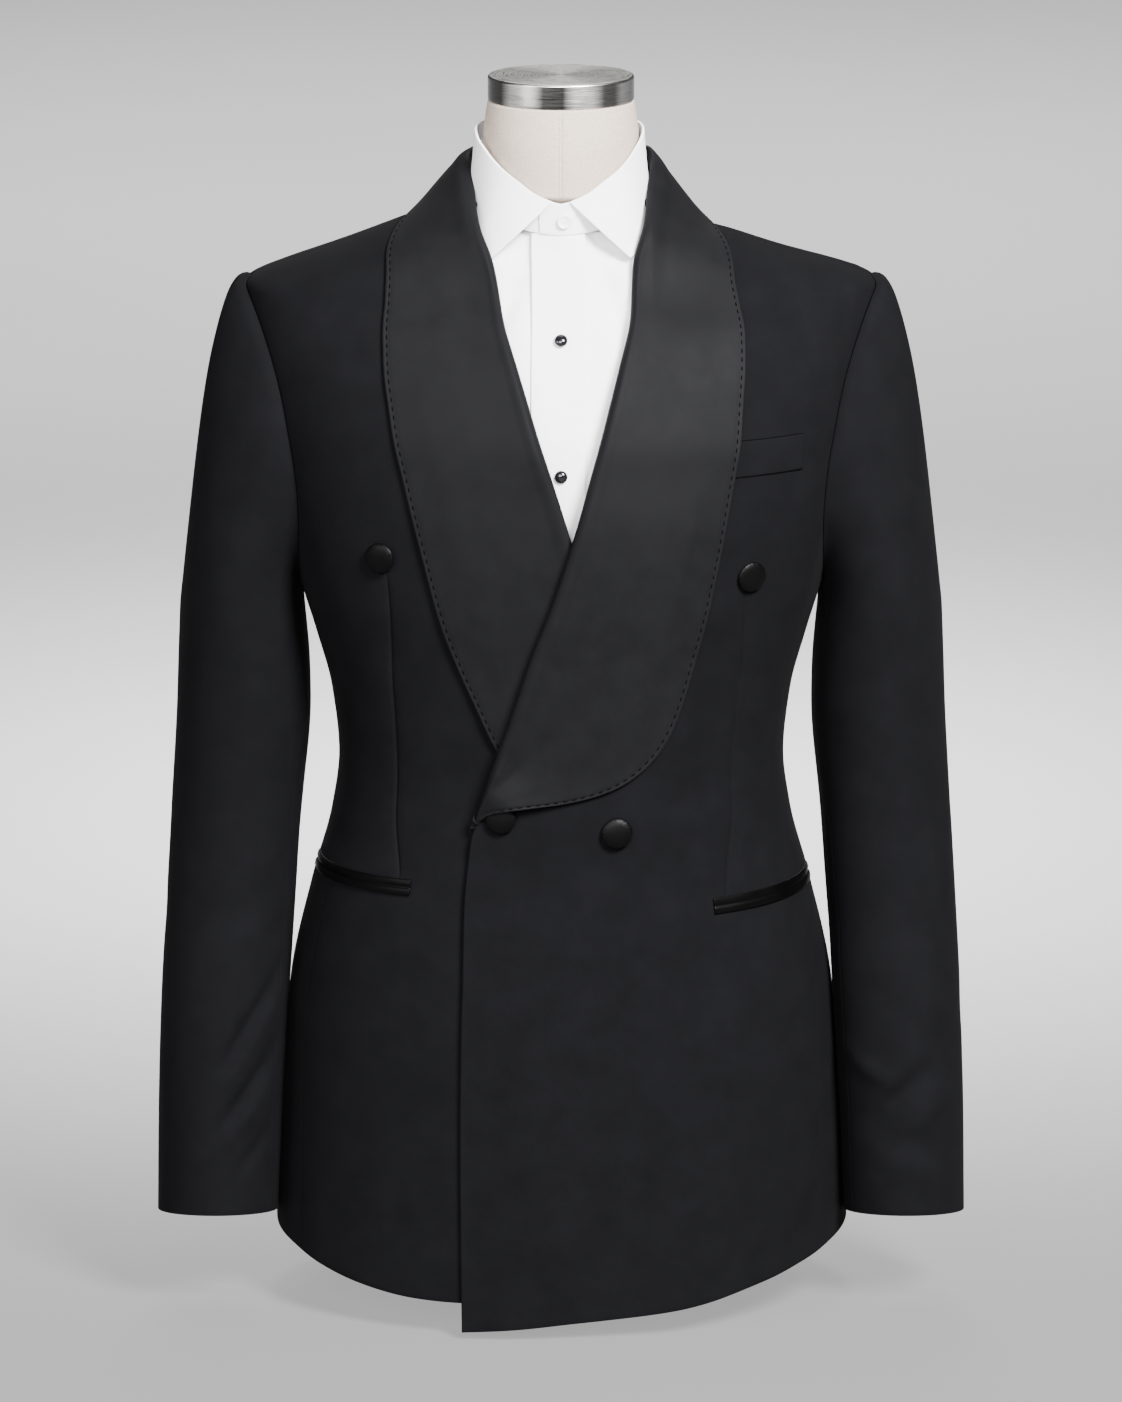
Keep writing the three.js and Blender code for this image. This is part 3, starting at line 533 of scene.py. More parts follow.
def mesh_piece(name, points, faces, finish, uv=None, node=None):
    """A smooth-shaded mesh from points in millimetres, riding on the body."""
    mesh = bpy.data.meshes.new(name)
    drop = LOWER_SHOULDER.by(points[:, 0]) * smoothstep(points[:, 2], *SHOULDER_FADE)
    points = points - stack(0, 0, drop)
    loops = np.concatenate([part.reshape(-1) for part in faces]).astype(np.int32)
    totals = np.concatenate([np.full(len(part), part.shape[1]) for part in faces])
    starts = np.concatenate([[0], np.cumsum(totals)[:-1]]).astype(np.int32)
    mesh.vertices.add(len(points))
    mesh.vertices.foreach_set("co", (points * MM).astype(np.float32).ravel())
    mesh.loops.add(len(loops))
    mesh.loops.foreach_set("vertex_index", loops)
    mesh.polygons.add(len(totals))
    mesh.polygons.foreach_set("loop_start", starts)
    mesh.polygons.foreach_set("use_smooth", np.ones(len(totals), bool))
    mesh.update(calc_edges=True)
    if uv is not None:
        layer = mesh.uv_layers.new(name="cloth")
        layer.data.foreach_set("uv", (uv * MM)[loops].astype(np.float32).ravel())
    mesh.validate()
    mesh.materials.append(FINISHES[finish][0])
    made = bpy.data.objects.new(name, mesh)
    bpy.context.scene.collection.objects.link(made)
    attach(made, "root")
    if node:
        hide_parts(node)
    return made


def lengths_from_start(points, axis):
    steps = np.linalg.norm(np.diff(points, axis=axis), axis=-1)
    zero = np.zeros_like(steps[:, :1] if axis == 1 else steps[:1])
    return np.concatenate([zero, np.cumsum(steps, axis=axis)], axis=axis)


def fall(distance, radius):
    """How far a rounded edge lies under the face at a distance from the edge."""
    if radius == 0:
        return 0 * distance
    x = 1 - np.clip(distance / radius, 0, 1)
    return radius * (1 - np.sqrt(1 - x * x))


def normals_of(points, sign=1):
    across = np.gradient(points, axis=1, edge_order=2)
    up = np.gradient(points, axis=0, edge_order=2)
    return unit(np.cross(across, up)) * sign


MOST_ROUND = 0.46


def cloth(name, outer, thickness, finish, sign, rounds, node, sunk=None):
    """A closed sheet from the grid of its outer face; rounds are its left, right, first and last edges."""
    rows, columns = outer.shape[:2]
    normal = normals_of(outer, sign)
    if sunk is not None:
        outer = outer - normal * sunk[..., None]
        normal = normals_of(outer, sign)
    across = lengths_from_start(outer, 1)
    up = lengths_from_start(outer, 0)
    left, right, first, last = rounds
    under = np.maximum(fall(across, left), fall(across[:, -1:] - across, right))
    under = np.maximum(under, np.maximum(fall(up, first), fall(up[-1:] - up, last)))
    under = np.minimum(under, MOST_ROUND * thickness)
    top = outer - normal * under[..., None]
    bottom = outer - normal * (thickness - under)[..., None]
    middle = columns // 2
    uv = np.stack([across - across[:, middle:middle + 1], up], -1).reshape(-1, 2)
    faces = grid_faces(rows, columns)
    count = rows * columns
    i, j = np.arange(rows), np.arange(columns)
    right_side = i[1:] * columns + columns - 1
    top_side = (rows - 1) * columns + j[::-1][1:]
    left_side = i[::-1][1:-1] * columns
    loop = np.concatenate([j, right_side, top_side, left_side])
    after = np.roll(loop, -1)
    rim = np.stack([loop, after, after + count, loop + count], -1)[:, ::-1]
    faces = np.concatenate([faces, faces[:, ::-1] + count, rim])
    if sign < 0:
        faces = faces[:, ::-1]
    points = np.concatenate([top.reshape(-1, 3), bottom.reshape(-1, 3)])
    return mesh_piece(name, points, [faces], finish, np.concatenate([uv, uv]), node)


def frame_at(place, direction):
    """A place and three directions: sideways, up along the cloth, and out of it."""
    out = unit(np.asarray(direction, float))
    upright = (0, 1, 0) if abs(out[2]) > 0.9 else (0, 0, 1)
    side = unit(np.cross(np.asarray(upright, float), out))
    return np.asarray(place, float), side, np.cross(out, side), out


def lids_of(rows, around):
    """Triangles that close the first and the last ring, each round its own middle point."""
    k = np.arange(around)
    after = (k + 1) % around
    first_middle, last = rows * around, (rows - 1) * around
    return np.concatenate([
        np.stack([after, k, np.full(around, first_middle)], -1),
        np.stack([last + k, last + after, np.full(around, first_middle + 1)], -1),
    ])


def turned(name, profile, place, direction, finish, node=None, around=64, relief=None):
    """A body turned from rows of radius and height, set on the cloth and facing out of it."""
    profile = np.array(profile, float)
    base, side, up, out = frame_at(place, direction)
    angle = np.linspace(0, 2 * np.pi, around, endpoint=False)
    radius, height = profile[:, :1], profile[:, 1:]
    if relief is not None:
        height = height + relief(radius, angle)
    ring = (radius * np.cos(angle))[..., None] * side + (radius * np.sin(angle))[..., None] * up
    points = (base + ring + (height + 0 * angle)[..., None] * out).reshape(-1, 3)
    rows = len(profile)
    faces = grid_faces(rows, around, closed=True)
    ends = np.array([points[:around].mean(0), points[-around:].mean(0)])
    lids = lids_of(rows, around)
    uv = np.concatenate([points, ends]) - base
    uv = np.stack([uv @ side, uv @ up], -1)
    return mesh_piece(name, np.concatenate([points, ends]), [faces, lids], finish, uv, node)


def lump(name, rings, finish, node=None):
    """A closed body from rings of points, from the lowest to the highest."""
    rings = np.asarray(rings, float)
    rows, around = rings.shape[:2]
    points = rings.reshape(-1, 3)
    ends = np.array([rings[0].mean(0), rings[-1].mean(0)])
    faces = grid_faces(rows, around, closed=True)
    points = np.concatenate([points, ends])
    return mesh_piece(name, points, [faces, lids_of(rows, around)], finish, points[:, [0, 2]], node)


def threads(name, starts, ends, normals, radius, finish, sag=0.35, around=6, along=7):
    """Many short stitches as one piece: each is a thread that dips into the cloth at its ends."""
    count = len(starts)
    t = np.linspace(0, 1, along)[None, :, None]
    centre = starts[:, None] * (1 - t) + ends[:, None] * t
    arch = np.sin(np.pi * t)
    centre = centre + normals[:, None] * (arch * sag - radius * 0.4)
    run = unit(ends - starts)[:, None]
    side = np.cross(normals[:, None], run)
    angle = np.linspace(0, 2 * np.pi, around, endpoint=False)
    size = radius * (0.35 + 0.65 * arch ** 0.5)
    ring = side[:, :, None] * np.cos(angle)[:, None] + normals[:, None, None] * np.sin(angle)[:, None]
    points = centre[:, :, None] + ring * size[:, :, None]
    faces = grid_faces(along, around, closed=True)
    faces = (faces[None] + np.arange(count)[:, None, None] * along * around).reshape(-1, 4)
    k = np.arange(around)
    hub, near, far = k[0].repeat(around - 2), k[1:-1], k[2:]
    last = (along - 1) * around
    caps = np.concatenate([np.stack([hub, far, near], -1), last + np.stack([hub, near, far], -1)])
    caps = (caps[None] + np.arange(count)[:, None, None] * along * around).reshape(-1, 3)
    return mesh_piece(name, points.reshape(-1, 3), [faces, caps], finish)


def along_path(path, normals, pitch, length, start=0):
    """Ends of stitches laid along a path of points, with the normals there."""
    steps = np.linalg.norm(np.diff(path, axis=0), axis=1)
    run = np.concatenate([[0], np.cumsum(steps)])
    begins = np.arange(start, run[-1] - length, pitch)

    def at(where):
        return np.stack([np.interp(where, run, path[:, k]) for k in range(3)], -1)

    def lean(where):
        return unit(np.stack([np.interp(where, run, normals[:, k]) for k in range(3)], -1))

    return at(begins), at(begins + length), lean(begins + length / 2)


# Finishes

def nodes_of(material):
    return material.node_tree.nodes, material.node_tree.links


def add_node(material, kind, **values):
    nodes, links = nodes_of(material)
    made = nodes.new(kind)
    for name, value in values.items():
        if hasattr(made, name) and not isinstance(value, bpy.types.NodeSocket):
            setattr(made, name, value)
            continue
        socket = made.inputs[name.replace("_", " ")]
        if isinstance(value, bpy.types.NodeSocket):
            links.new(value, socket)
        else:
            socket.default_value = value
    return made


def start_material(name, colour, roughness, **sockets):
    material = bpy.data.materials.new(name)
    material.use_nodes = True
    principled = material.node_tree.nodes["Principled BSDF"]
    principled.inputs["Base Color"].default_value = (*colour, 1)
    principled.inputs["Roughness"].default_value = roughness
    for socket, value in sockets.items():
        principled.inputs[socket.replace("_", " ")].default_value = value
    return material, principled


def scaled(material, source, size):
    """Coordinates counted in cells of a given size in millimetres, one size or three."""
    sizes = (size, size, size) if np.isscalar(size) else size
    mapping = add_node(material, "ShaderNodeMapping")
    mapping.inputs["Scale"].default_value = [1 / (MM * cell) for cell in sizes]
    nodes_of(material)[1].new(source, mapping.inputs["Vector"])
    return mapping.outputs[0]


def plus(material, first, second):
    return maths(material, "ADD", first, second)


def times(material, first, second):
    return maths(material, "MULTIPLY", first, second)


def maths(material, operation, first, second=0.0):
    made = add_node(material, "ShaderNodeMath", operation=operation)
    for socket, value in zip(made.inputs, (first, second)):
        if isinstance(value, bpy.types.NodeSocket):
            nodes_of(material)[1].new(value, socket)
        else:
            socket.default_value = value
    return made.outputs[0]


def noise(material, coordinates, detail=2.0, roughness=0.5):
    made = add_node(material, "ShaderNodeTexNoise", Detail=detail, Roughness=roughness, Scale=1.0)
    nodes_of(material)[1].new(coordinates, made.inputs["Vector"])
    return made.outputs["Fac"]


def wave(material, coordinates, direction):
    made = add_node(material, "ShaderNodeTexWave", Scale=0.31831, Distortion=0.0)
    made.bands_direction = direction
    nodes_of(material)[1].new(coordinates, made.inputs["Vector"])
    return made.outputs["Fac"]


def ramp(material, factor, low, high, start, end):
    """A colour or grey that goes from one value to another as a factor rises."""
    made = add_node(material, "ShaderNodeValToRGB")
    nodes_of(material)[1].new(factor, made.inputs["Fac"])
    elements = made.color_ramp.elements
    elements[0].position, elements[1].position = start, end
    elements[0].color = (*low, 1) if len(np.atleast_1d(low)) == 3 else (low, low, low, 1)
    elements[1].color = (*high, 1) if len(np.atleast_1d(high)) == 3 else (high, high, high, 1)
    return made.outputs["Color"]


def raise_by(material, principled, height, distance, strength=1.0):
    made = add_node(material, "ShaderNodeBump", Strength=strength, Distance=distance * MM)
    links = nodes_of(material)[1]
    links.new(height, made.inputs["Height"])
    links.new(made.outputs[0], principled.inputs["Normal"])


def tint(material, principled, factor, low, high, start=0.3, end=0.7):
    colour = ramp(material, factor, low, high, start, end)
    nodes_of(material)[1].new(colour, principled.inputs["Base Color"])


def polish(material, principled, factor, low, high, start=0.3, end=0.7):
    grey = ramp(material, factor, low, high, start, end)
    nodes_of(material)[1].new(grey, principled.inputs["Roughness"])


def cloth_coordinates(material):
    return add_node(material, "ShaderNodeUVMap", uv_map="cloth").outputs[0]


def object_coordinates(material):
    return add_node(material, "ShaderNodeTexCoord").outputs["Object"]


def shade(colour, share):
    return tuple(channel * share for channel in colour)


def wool_material(name, colour, roughness=0.88, sheen=0.004):
    """Fine worsted wool: a broken diagonal rib with soft cloudy tone and a little nap."""
    material, principled = start_material(name, colour, roughness, Sheen_Weight=sheen, Sheen_Roughness=0.45)
    principled.inputs["Specular IOR Level"].default_value = 0.022
    links = nodes_of(material)[1]
    place = cloth_coordinates(material)
    rotated = add_node(material, "ShaderNodeMapping")
    rotated.inputs["Rotation"].default_value = (0, 0, np.radians(38))
    links.new(place, rotated.inputs["Vector"])
    rib = wave(material, scaled(material, rotated.outputs[0], 0.9), "X")
    broken = noise(material, scaled(material, place, (0.8, 1.5, 1)), detail=1)
    fuzz = noise(material, scaled(material, place, 0.5), detail=2, roughness=0.7)
    clouds = noise(material, scaled(material, object_coordinates(material), 26), detail=4, roughness=0.6)
    height = plus(material, times(material, rib, broken), times(material, fuzz, 0.5))
    raise_by(material, principled, height, distance=0.22, strength=0.55)
    tone = plus(material, times(material, clouds, 0.55), times(material, fuzz, 0.45))
    tint(material, principled, tone, shade(colour, 0.78), shade(colour, 1.24))
    polish(material, principled, broken, roughness - 0.08, roughness + 0.06)
    return material


def satin_material(name, colour, roughness=0.62, shine=0.045):
    """Silk satin: a tight smooth weave with a soft sheen and faint cross threads."""
    material, principled = start_material(name, colour, roughness, Sheen_Weight=0.01, Sheen_Roughness=0.35)
    principled.inputs["Specular IOR Level"].default_value = shine
    place = cloth_coordinates(material)
    warp = noise(material, scaled(material, place, (0.45, 3.2, 1)), detail=2)
    weft = noise(material, scaled(material, place, (2.6, 0.5, 1)), detail=2)
    clouds = noise(material, scaled(material, object_coordinates(material), 18), detail=4, roughness=0.6)
    height = plus(material, warp, times(material, weft, 0.7))
    raise_by(material, principled, height, distance=0.13, strength=0.42)
    tone = plus(material, times(material, clouds, 0.6), times(material, warp, 0.4))
    tint(material, principled, tone, shade(colour, 0.82), shade(colour, 1.18))
    polish(material, principled, clouds, roughness - 0.05, roughness + 0.06)
    return material


def cotton_material(name, colour):
    """Fine poplin: thin close threads both ways."""
    material, principled = start_material(name, colour, 0.78, Sheen_Weight=0.08, Sheen_Roughness=0.5)
    principled.inputs["Specular IOR Level"].default_value = 0.3
    principled.inputs["Subsurface Weight"].default_value = 0.06
    principled.inputs["Subsurface Radius"].default_value = (0.003, 0.003, 0.003)
    place = cloth_coordinates(material)
    warp = wave(material, scaled(material, place, 0.42), "X")
    weft = wave(material, scaled(material, place, 0.42), "Y")
    slub = noise(material, scaled(material, place, (0.9, 6, 1)), detail=2)
    height = plus(material, plus(material, warp, weft), slub)
    raise_by(material, principled, height, distance=0.05, strength=0.4)
    soft = noise(material, scaled(material, object_coordinates(material), 14), detail=3)
    tint(material, principled, soft, shade(colour, 0.975), colour, 0.35, 0.65)
    return material


def linen_material(name, colour):
    """Natural linen: visible threads both ways, of uneven thickness and tone."""
    material, principled = start_material(name, colour, 0.9)
    principled.inputs["Specular IOR Level"].default_value = 0.1
    place = cloth_coordinates(material)
    warp = noise(material, scaled(material, place, (0.75, 9, 1)), detail=3, roughness=0.7)
    weft = noise(material, scaled(material, place, (9, 0.75, 1)), detail=3, roughness=0.7)
    flecks = noise(material, scaled(material, place, (1.1, 2.8, 1)), detail=2, roughness=0.8)
    weave = plus(material, warp, weft)
    raise_by(material, principled, weave, distance=0.3, strength=0.6)
    tone = times(material, plus(material, weave, flecks), 1 / 3)
    tint(material, principled, tone, shade(colour, 0.86), shade(colour, 1.08), 0.4, 0.6)
    return material


# Painted reflections on the cap's side: its tone by the share of a turn from the wearer's left, in light
# and dark bands that stand in for the studio seen in the steel
STEEL_PAINTED_REFLECTIONS = [
    (0, 0.3), (0.5, 0.3), (0.55, 0.1), (0.6, 0.12), (0.63, 0.9), (0.67, 0.85), (0.71, 0.09), (0.755, 0.06),
    (0.78, 0.8), (0.82, 0.95), (0.85, 0.17), (0.88, 0.17), (0.905, 0.6), (0.95, 0.25), (1, 0.3),
]
STEEL_TOP = 865.5
STEEL_SCRATCH = 0.5


def steel_material(name, colour):
    """Brushed steel with fine scratches that run round the cap, painted reflection bands round its side and
    a painted highlight on its top.
    """
    material, principled = start_material(name, colour, 0.32, Metallic=1.0)
    links = nodes_of(material)[1]
    place = object_coordinates(material)
    split = add_node(material, "ShaderNodeSeparateXYZ")
    links.new(place, split.inputs[0])
    x, y, z = split.outputs
    far = maths(material, "SQRT", plus(material, times(material, x, x), times(material, y, y)))
    angle = maths(material, "ARCTAN2", y, x)
    joined = add_node(material, "ShaderNodeCombineXYZ")
    links.new(times(material, far, 1 / (STEEL_SCRATCH * MM)), joined.inputs[0])
    links.new(times(material, angle, 2.5), joined.inputs[1])
    links.new(times(material, z, 1 / (STEEL_SCRATCH * MM)), joined.inputs[2])
    scratches = noise(material, joined.outputs[0], detail=3, roughness=0.6)
    raise_by(material, principled, scratches, distance=0.03, strength=0.4)
    polish(material, principled, scratches, 0.24, 0.4, 0.35, 0.65)
    # Painted reflections: bands of light and dark tone round the side, by the turn
    turn = times(material, angle, 1 / np.radians(360))
    painted_reflection_bands = add_node(material, "ShaderNodeValToRGB")
    links.new(maths(material, "FRACT", plus(material, turn, 1.0)), painted_reflection_bands.inputs["Fac"])
    elements = painted_reflection_bands.color_ramp.elements
    elements[0].position, elements[1].position = STEEL_PAINTED_REFLECTIONS[0][0], STEEL_PAINTED_REFLECTIONS[-1][0]
    for position, _ in STEEL_PAINTED_REFLECTIONS[1:-1]:
        elements.new(position)
    for element, (_, tone) in zip(elements, STEEL_PAINTED_REFLECTIONS):
        element.color = (tone, tone, tone, 1)
    # Painted highlight on the top: lighter towards the front and the back, darker towards the sides
    on_top = maths(material, "GREATER_THAN", z, STEEL_TOP * MM)
    mixed = add_node(material, "ShaderNodeMix", data_type="RGBA")
    painted_top_highlight = times(material, maths(material, "COSINE", times(material, angle, 2.0)), -0.5)
    flat = ramp(material, plus(material, painted_top_highlight, 0.5), 0.34, 0.72, 0.35, 1)
    links.new(on_top, mixed.inputs["Factor"])
    links.new(painted_reflection_bands.outputs[0], mixed.inputs[6])
    links.new(flat, mixed.inputs[7])
    grain = ramp(material, scratches, shade(colour, 1.5), shade(colour, 2.1), 0.35, 0.65)
    final = add_node(material, "ShaderNodeMix", data_type="RGBA", blend_type="MULTIPLY")
    final.inputs["Factor"].default_value = 1
    links.new(mixed.outputs[2], final.inputs[6])
    links.new(grain, final.inputs[7])
    links.new(final.outputs[2], principled.inputs["Base Color"])
    return material


def glossy_material(name, colour, roughness, variation=0.06):
    """Polished resin or stone with a faint cloudy tone."""
    material, principled = start_material(name, colour, roughness)
    clouds = noise(material, scaled(material, object_coordinates(material), 3), detail=3)
    low, high = shade(colour, 1 - variation), shade(colour, 1 + variation)
    tint(material, principled, clouds, low, high, 0.35, 0.65)
    polish(material, principled, clouds, roughness - 0.03, roughness + 0.05, 0.35, 0.65)
    return material


WOOL = (0.004, 0.004, 0.0046)
SATIN = (0.0048, 0.0048, 0.0054)
THREAD = (0.001, 0.001, 0.001)
COTTON = (0.93, 0.93, 0.95)
LINEN = (0.5, 0.412, 0.345)

FINISHES = {
    "wool": (wool_material("wool_cloth", WOOL), "wool"),
    "satin": (satin_material("satin_cloth", SATIN), "satin"),
    "satin_dark": (satin_material("satin_welt", shade(SATIN, 0.15), 0.4, 0.06), "satin"),
    "satin_button": (satin_material("satin_button", shade(SATIN, 0.2), 0.42, 0.07), "wool"),
    "thread": (satin_material("black_thread", THREAD, 0.7, 0.02), "satin"),
    "cotton": (cotton_material("cotton_cloth", COTTON), "cotton"),
    "cotton_thread": (cotton_material("white_thread", shade(COTTON, 0.92)), "cotton"),
    "pearl": (glossy_material("pearl", (0.85, 0.85, 0.85), 0.22), "pearl"),
    "onyx": (glossy_material("onyx", (0.006, 0.006, 0.007), 0.1), "onyx"),
    "linen": (linen_material("linen_cloth", LINEN), "linen"),
    "linen_thread": (linen_material("linen_seam", shade(LINEN, 0.8)), "linen"),
    "steel": (steel_material("brushed_steel", (0.5, 0.49, 0.475)), "steel"),
}


# The jacket's body

def armhole_levels():
    """Heights that follow the round of the armhole at its top and its bottom."""
    angles = np.arange(0, 40, 2.5)
    top = ARMHOLE.middle_z + ARMHOLE.half_height * cos(angles)
    return np.concatenate([top, 2 * ARMHOLE.middle_z - top])


def level_rows(low, high, step, extra=()):
    """Heights from low to high with rounded-edge rows at both ends and some that are asked for."""
    plain = low + (high - low) * spaced(int((high - low) / step), high - low)
    wanted = [z for z in extra if low + 2 < z < high - 2]
    rows = np.sort(np.concatenate([plain, wanted]))
    keep = np.concatenate([[True], np.diff(rows) > 0.08])
    return rows[keep]


def soft_waves(side, turn, z):
    """Slow uneven swells of the cloth, and a light spring of the skirt near the hem."""
    phase = 0 if side == "left" else 40
    slow = 0.5 * sin(4.1 * turn + phase) * sin(0.9 * z + 2 * phase) * smoothstep(z, 40, 120)
    skirt = 1.1 * sin(7.5 * turn + 1.7 * phase + 0.12 * z) * (1 - smoothstep(z, 60, 300))
    chest = 0.7 * bump(z, 640, 70) * sin(5 * turn + 30)
    return (slow + skirt + chest) * smoothstep(turn, -24, 0)


def drag_lines(side, turn, z):
    """Shallow pulls that fan from the fastened waist towards the side."""
    waist_turn, waist_z = (18, 366) if side == "left" else (0, 366)
    millimetres_a_turn = 2.4
    along = np.clip(turn - waist_turn, 0, None) * millimetres_a_turn
    total = 0
    for rise, depth in ((0.34, 0.5), (-0.3, 0.45), (0.95, 0.4)):
        offset = z - waist_z - rise * along
        total = total + depth * bump(offset, 0, 5 + 0.09 * along) * smoothstep(along, 8, 50)
    return total * (1 - smoothstep(along, 60, 150))


EDGE_SETBACK = SimpleNamespace(by=6.5, start=364, end=386)
DART_FOLD = SimpleNamespace(seam=1.1, seam_width=0.9, hollow=0.8, hollow_width=8, step=1.6)


def add_front(side):
    half = spaced(40, 110, WOOL_WALL / 2, DART_FOLD.step)
    other = spaced(28, 80, DART_FOLD.step, SEAM_ROUND)
    shares = np.concatenate([half / 2, 0.5 + other[1:] / 2])
    levels = level_rows(HEM_LEVEL, NECK_SEAM_HEIGHT, 3.6, armhole_levels())[:, None]
    setback = EDGE_SETBACK.by * smoothstep(levels, EDGE_SETBACK.start, EDGE_SETBACK.end)
    inner = getattr(FRONT_EDGE, side)(levels) + as_turn(setback, levels)
    outer = outer_border(levels, False, SEAM_GAP / 2) - as_turn(SEAM_GAP / 2, levels)
    dart = getattr(DART, side)(levels)
    first = between(inner, dart, np.clip(shares * 2, 0, 1), levels)
    second = between(dart, outer, np.clip(shares * 2 - 1, 0, 1), levels)
    turn = np.where(shares < 0.5, first, second)
    z = hung(levels, getattr(HEM, side)(turn))
    points = lifted(turn, z, overlap_lift(side, turn, z))
    across = lengths_from_start(points, 1)
    middle = len(half) - 1
    aside = np.abs(across - across[:, middle:middle + 1])
    low, high = DART_ENDS[side]
    fade = smoothstep(levels, low - 4, low + 3) * (1 - smoothstep(levels, high - 40, high))
    seam = DART_FOLD.seam * bump(aside, 0, DART_FOLD.seam_width)
    hollow = DART_FOLD.hollow * bump(aside, 0, DART_FOLD.hollow_width)
    sunk = (seam + hollow) * fade
    edge_fade = smoothstep(across, 0, 30) * smoothstep(across[:, -1:] - across, 0, 30)
    sunk = sunk + (soft_waves(side, turn, z) + drag_lines(side, turn, z)) * edge_fade
    bead = 0.5 * bump(across, 0.9, 0.8) - 0.3 * bump(across, 3.2, 1.2)
    sunk = sunk - bead * (1 - smoothstep(levels, 340, 372))
    rounds = (WOOL_WALL / 2, SEAM_ROUND, WOOL_WALL / 2, 0)
    return cloth(f"jacket_front_{side}", mirrored(points, side), WOOL_WALL, "wool", facing(side), rounds,
                 f"front_{side}", sunk)


def add_side(side):
    def seam_turn(z):
        gap = as_turn(SEAM_GAP / 2, z)
        return mix(SIDE_SEAM.turn(z) + gap, BACK_SEAM.turn(z) - gap, shares)

    shares = spaced(26, 110, SEAM_ROUND, SEAM_ROUND)
    ahead = meets_armhole(seam_turn, False, SEAM_GAP / 2)
    behind = meets_armhole(seam_turn, True, SEAM_GAP / 2)
    is_behind = seam_turn(ARMHOLE.middle_z - ARMHOLE.half_height) > 90
    top = np.where(is_behind, behind, ahead) - SEAM_GAP
    t = spaced(170, 490)[:, None]
    levels = mix(HEM_LEVEL, top, t)
    turn = seam_turn(levels)
    z = hung(levels, getattr(HEM, side)(turn))
    points = lifted(turn, z, 0)
    sunk = soft_waves(side, turn, z) * smoothstep(shares, 0, 0.25) * smoothstep(1 - shares, 0, 0.25)
    rounds = (SEAM_ROUND, SEAM_ROUND, WOOL_WALL / 2, SEAM_ROUND)
    return cloth(f"jacket_side_{side}", mirrored(points, side), WOOL_WALL, "wool", facing(side), rounds,
                 f"side_{side}", sunk)


def add_back(side):
    shares = spaced(48, 200, SEAM_ROUND, SEAM_ROUND)
    levels = level_rows(HEM_LEVEL, NECK_SEAM_HEIGHT, 4, armhole_levels())[:, None]
    outer = outer_border(levels, True, SEAM_GAP / 2) + as_turn(SEAM_GAP / 2, levels)
    turn = between(outer, 180 - as_turn(SEAM_GAP / 2, levels), shares, levels)
    z = hung(levels, getattr(HEM, side)(turn))
    points = lifted(turn, z, 0)
    phase = 0 if side == "left" else 50
    blade = hump(turn, z, 1.2, 150, 16, 630, 60)
    waist = hump(turn, z, 0.9, 140, 22, 400, 46) * sin(0.36 * (z - 392) + phase)
    skirt = 1.4 * sin(6.5 * turn + phase) * (1 - smoothstep(z, 60, 280))
    fade = smoothstep(shares, 0, 0.16) * smoothstep(1 - shares, 0, 0.1)
    sunk = (waist + skirt - blade) * fade
    rounds = (SEAM_ROUND, SEAM_ROUND, WOOL_WALL / 2, 0)
    return cloth(f"jacket_back_{side}", mirrored(points, side), WOOL_WALL, "wool", facing(side), rounds,
                 f"back_{side}", sunk)


# The sleeves

CAP_REACH = SimpleNamespace(shoulder=88, side=60, underarm=6)
SLEEVE_HEAD = SimpleNamespace(out=1, up=0.5, share=0.12, spread=0.1, outward_at_end=30)
CAP_OUTSIDE = 0.1
CAP_SMOOTHING = SimpleNamespace(times=14, before=14, after=12)


def fold_depth(side, angle, z):
    total = 0
    for fold_z, fold_angle, slope, length, width, depth in SLEEVE_FOLDS[side] + FINE_FOLDS[side]:
        away = (angle - fold_angle + 180) % 360 - 180
        round_by = away * SLEEVE_RADIUS * np.radians(1)
        over = z - fold_z - slope * round_by
        total = total + depth * np.exp(-((round_by / length) ** 2) - (over / width) ** 2)
    return total


def sleeve_ring(angle, z, side):
    half_width = (SLEEVE.outer(z) - SLEEVE.inner(z)) / 2
    middle_x = (SLEEVE.outer(z) + SLEEVE.inner(z)) / 2
    sunk = fold_depth(side, angle, z)
    x = middle_x + (half_width - sunk) * cos(angle)
    y = SLEEVE.middle(z) - (SLEEVE.half_depth(z) - sunk) * sin(angle)
    return stack(x, y, z + SLEEVE.slant(z) * sin(angle))


def sleeve_cap(angle, share, side):
    """A curve that leaves the armhole outwards and ends going down the sleeve."""
    up = cos(angle)
    z = ARMHOLE.middle_z + (ARMHOLE.half_height + CAP_OUTSIDE) * up
    y = armhole_y(angle) - CAP_OUTSIDE * sin(angle)
    high = np.maximum(0, up)
    start = skin(turn_at(y, z), z)
    end = sleeve_ring(angle, SLEEVE_TOP + 0 * angle, side)
    lower = mix(CAP_REACH.side, CAP_REACH.underarm, -up)
    reach = np.where(up > 0, mix(CAP_REACH.side, CAP_REACH.shoulder, up), lower)
    drop = 1.1 * (start[..., 2] - end[..., 2]) + 4
    leave = unit(stack(1, 0.35 * np.sign(y - ARMHOLE.middle_y) * (1 - np.abs(up)), 0.02)) * reach[..., None]
    arrive = stack(SLEEVE_HEAD.outward_at_end * high, 0, -drop)
    t = share
    head = high * bump(t, SLEEVE_HEAD.share, SLEEVE_HEAD.spread) * (t > 0)
    t = np.asarray(t)[..., None]
    lift = stack(SLEEVE_HEAD.out * head, 0, SLEEVE_HEAD.up * head)
    lift = lift + start * (1 + 2 * t) * (1 - t) ** 2 + leave * t * (1 - t) ** 2
    return lift + end * t * t * (3 - 2 * t) + arrive * t * t * (t - 1)


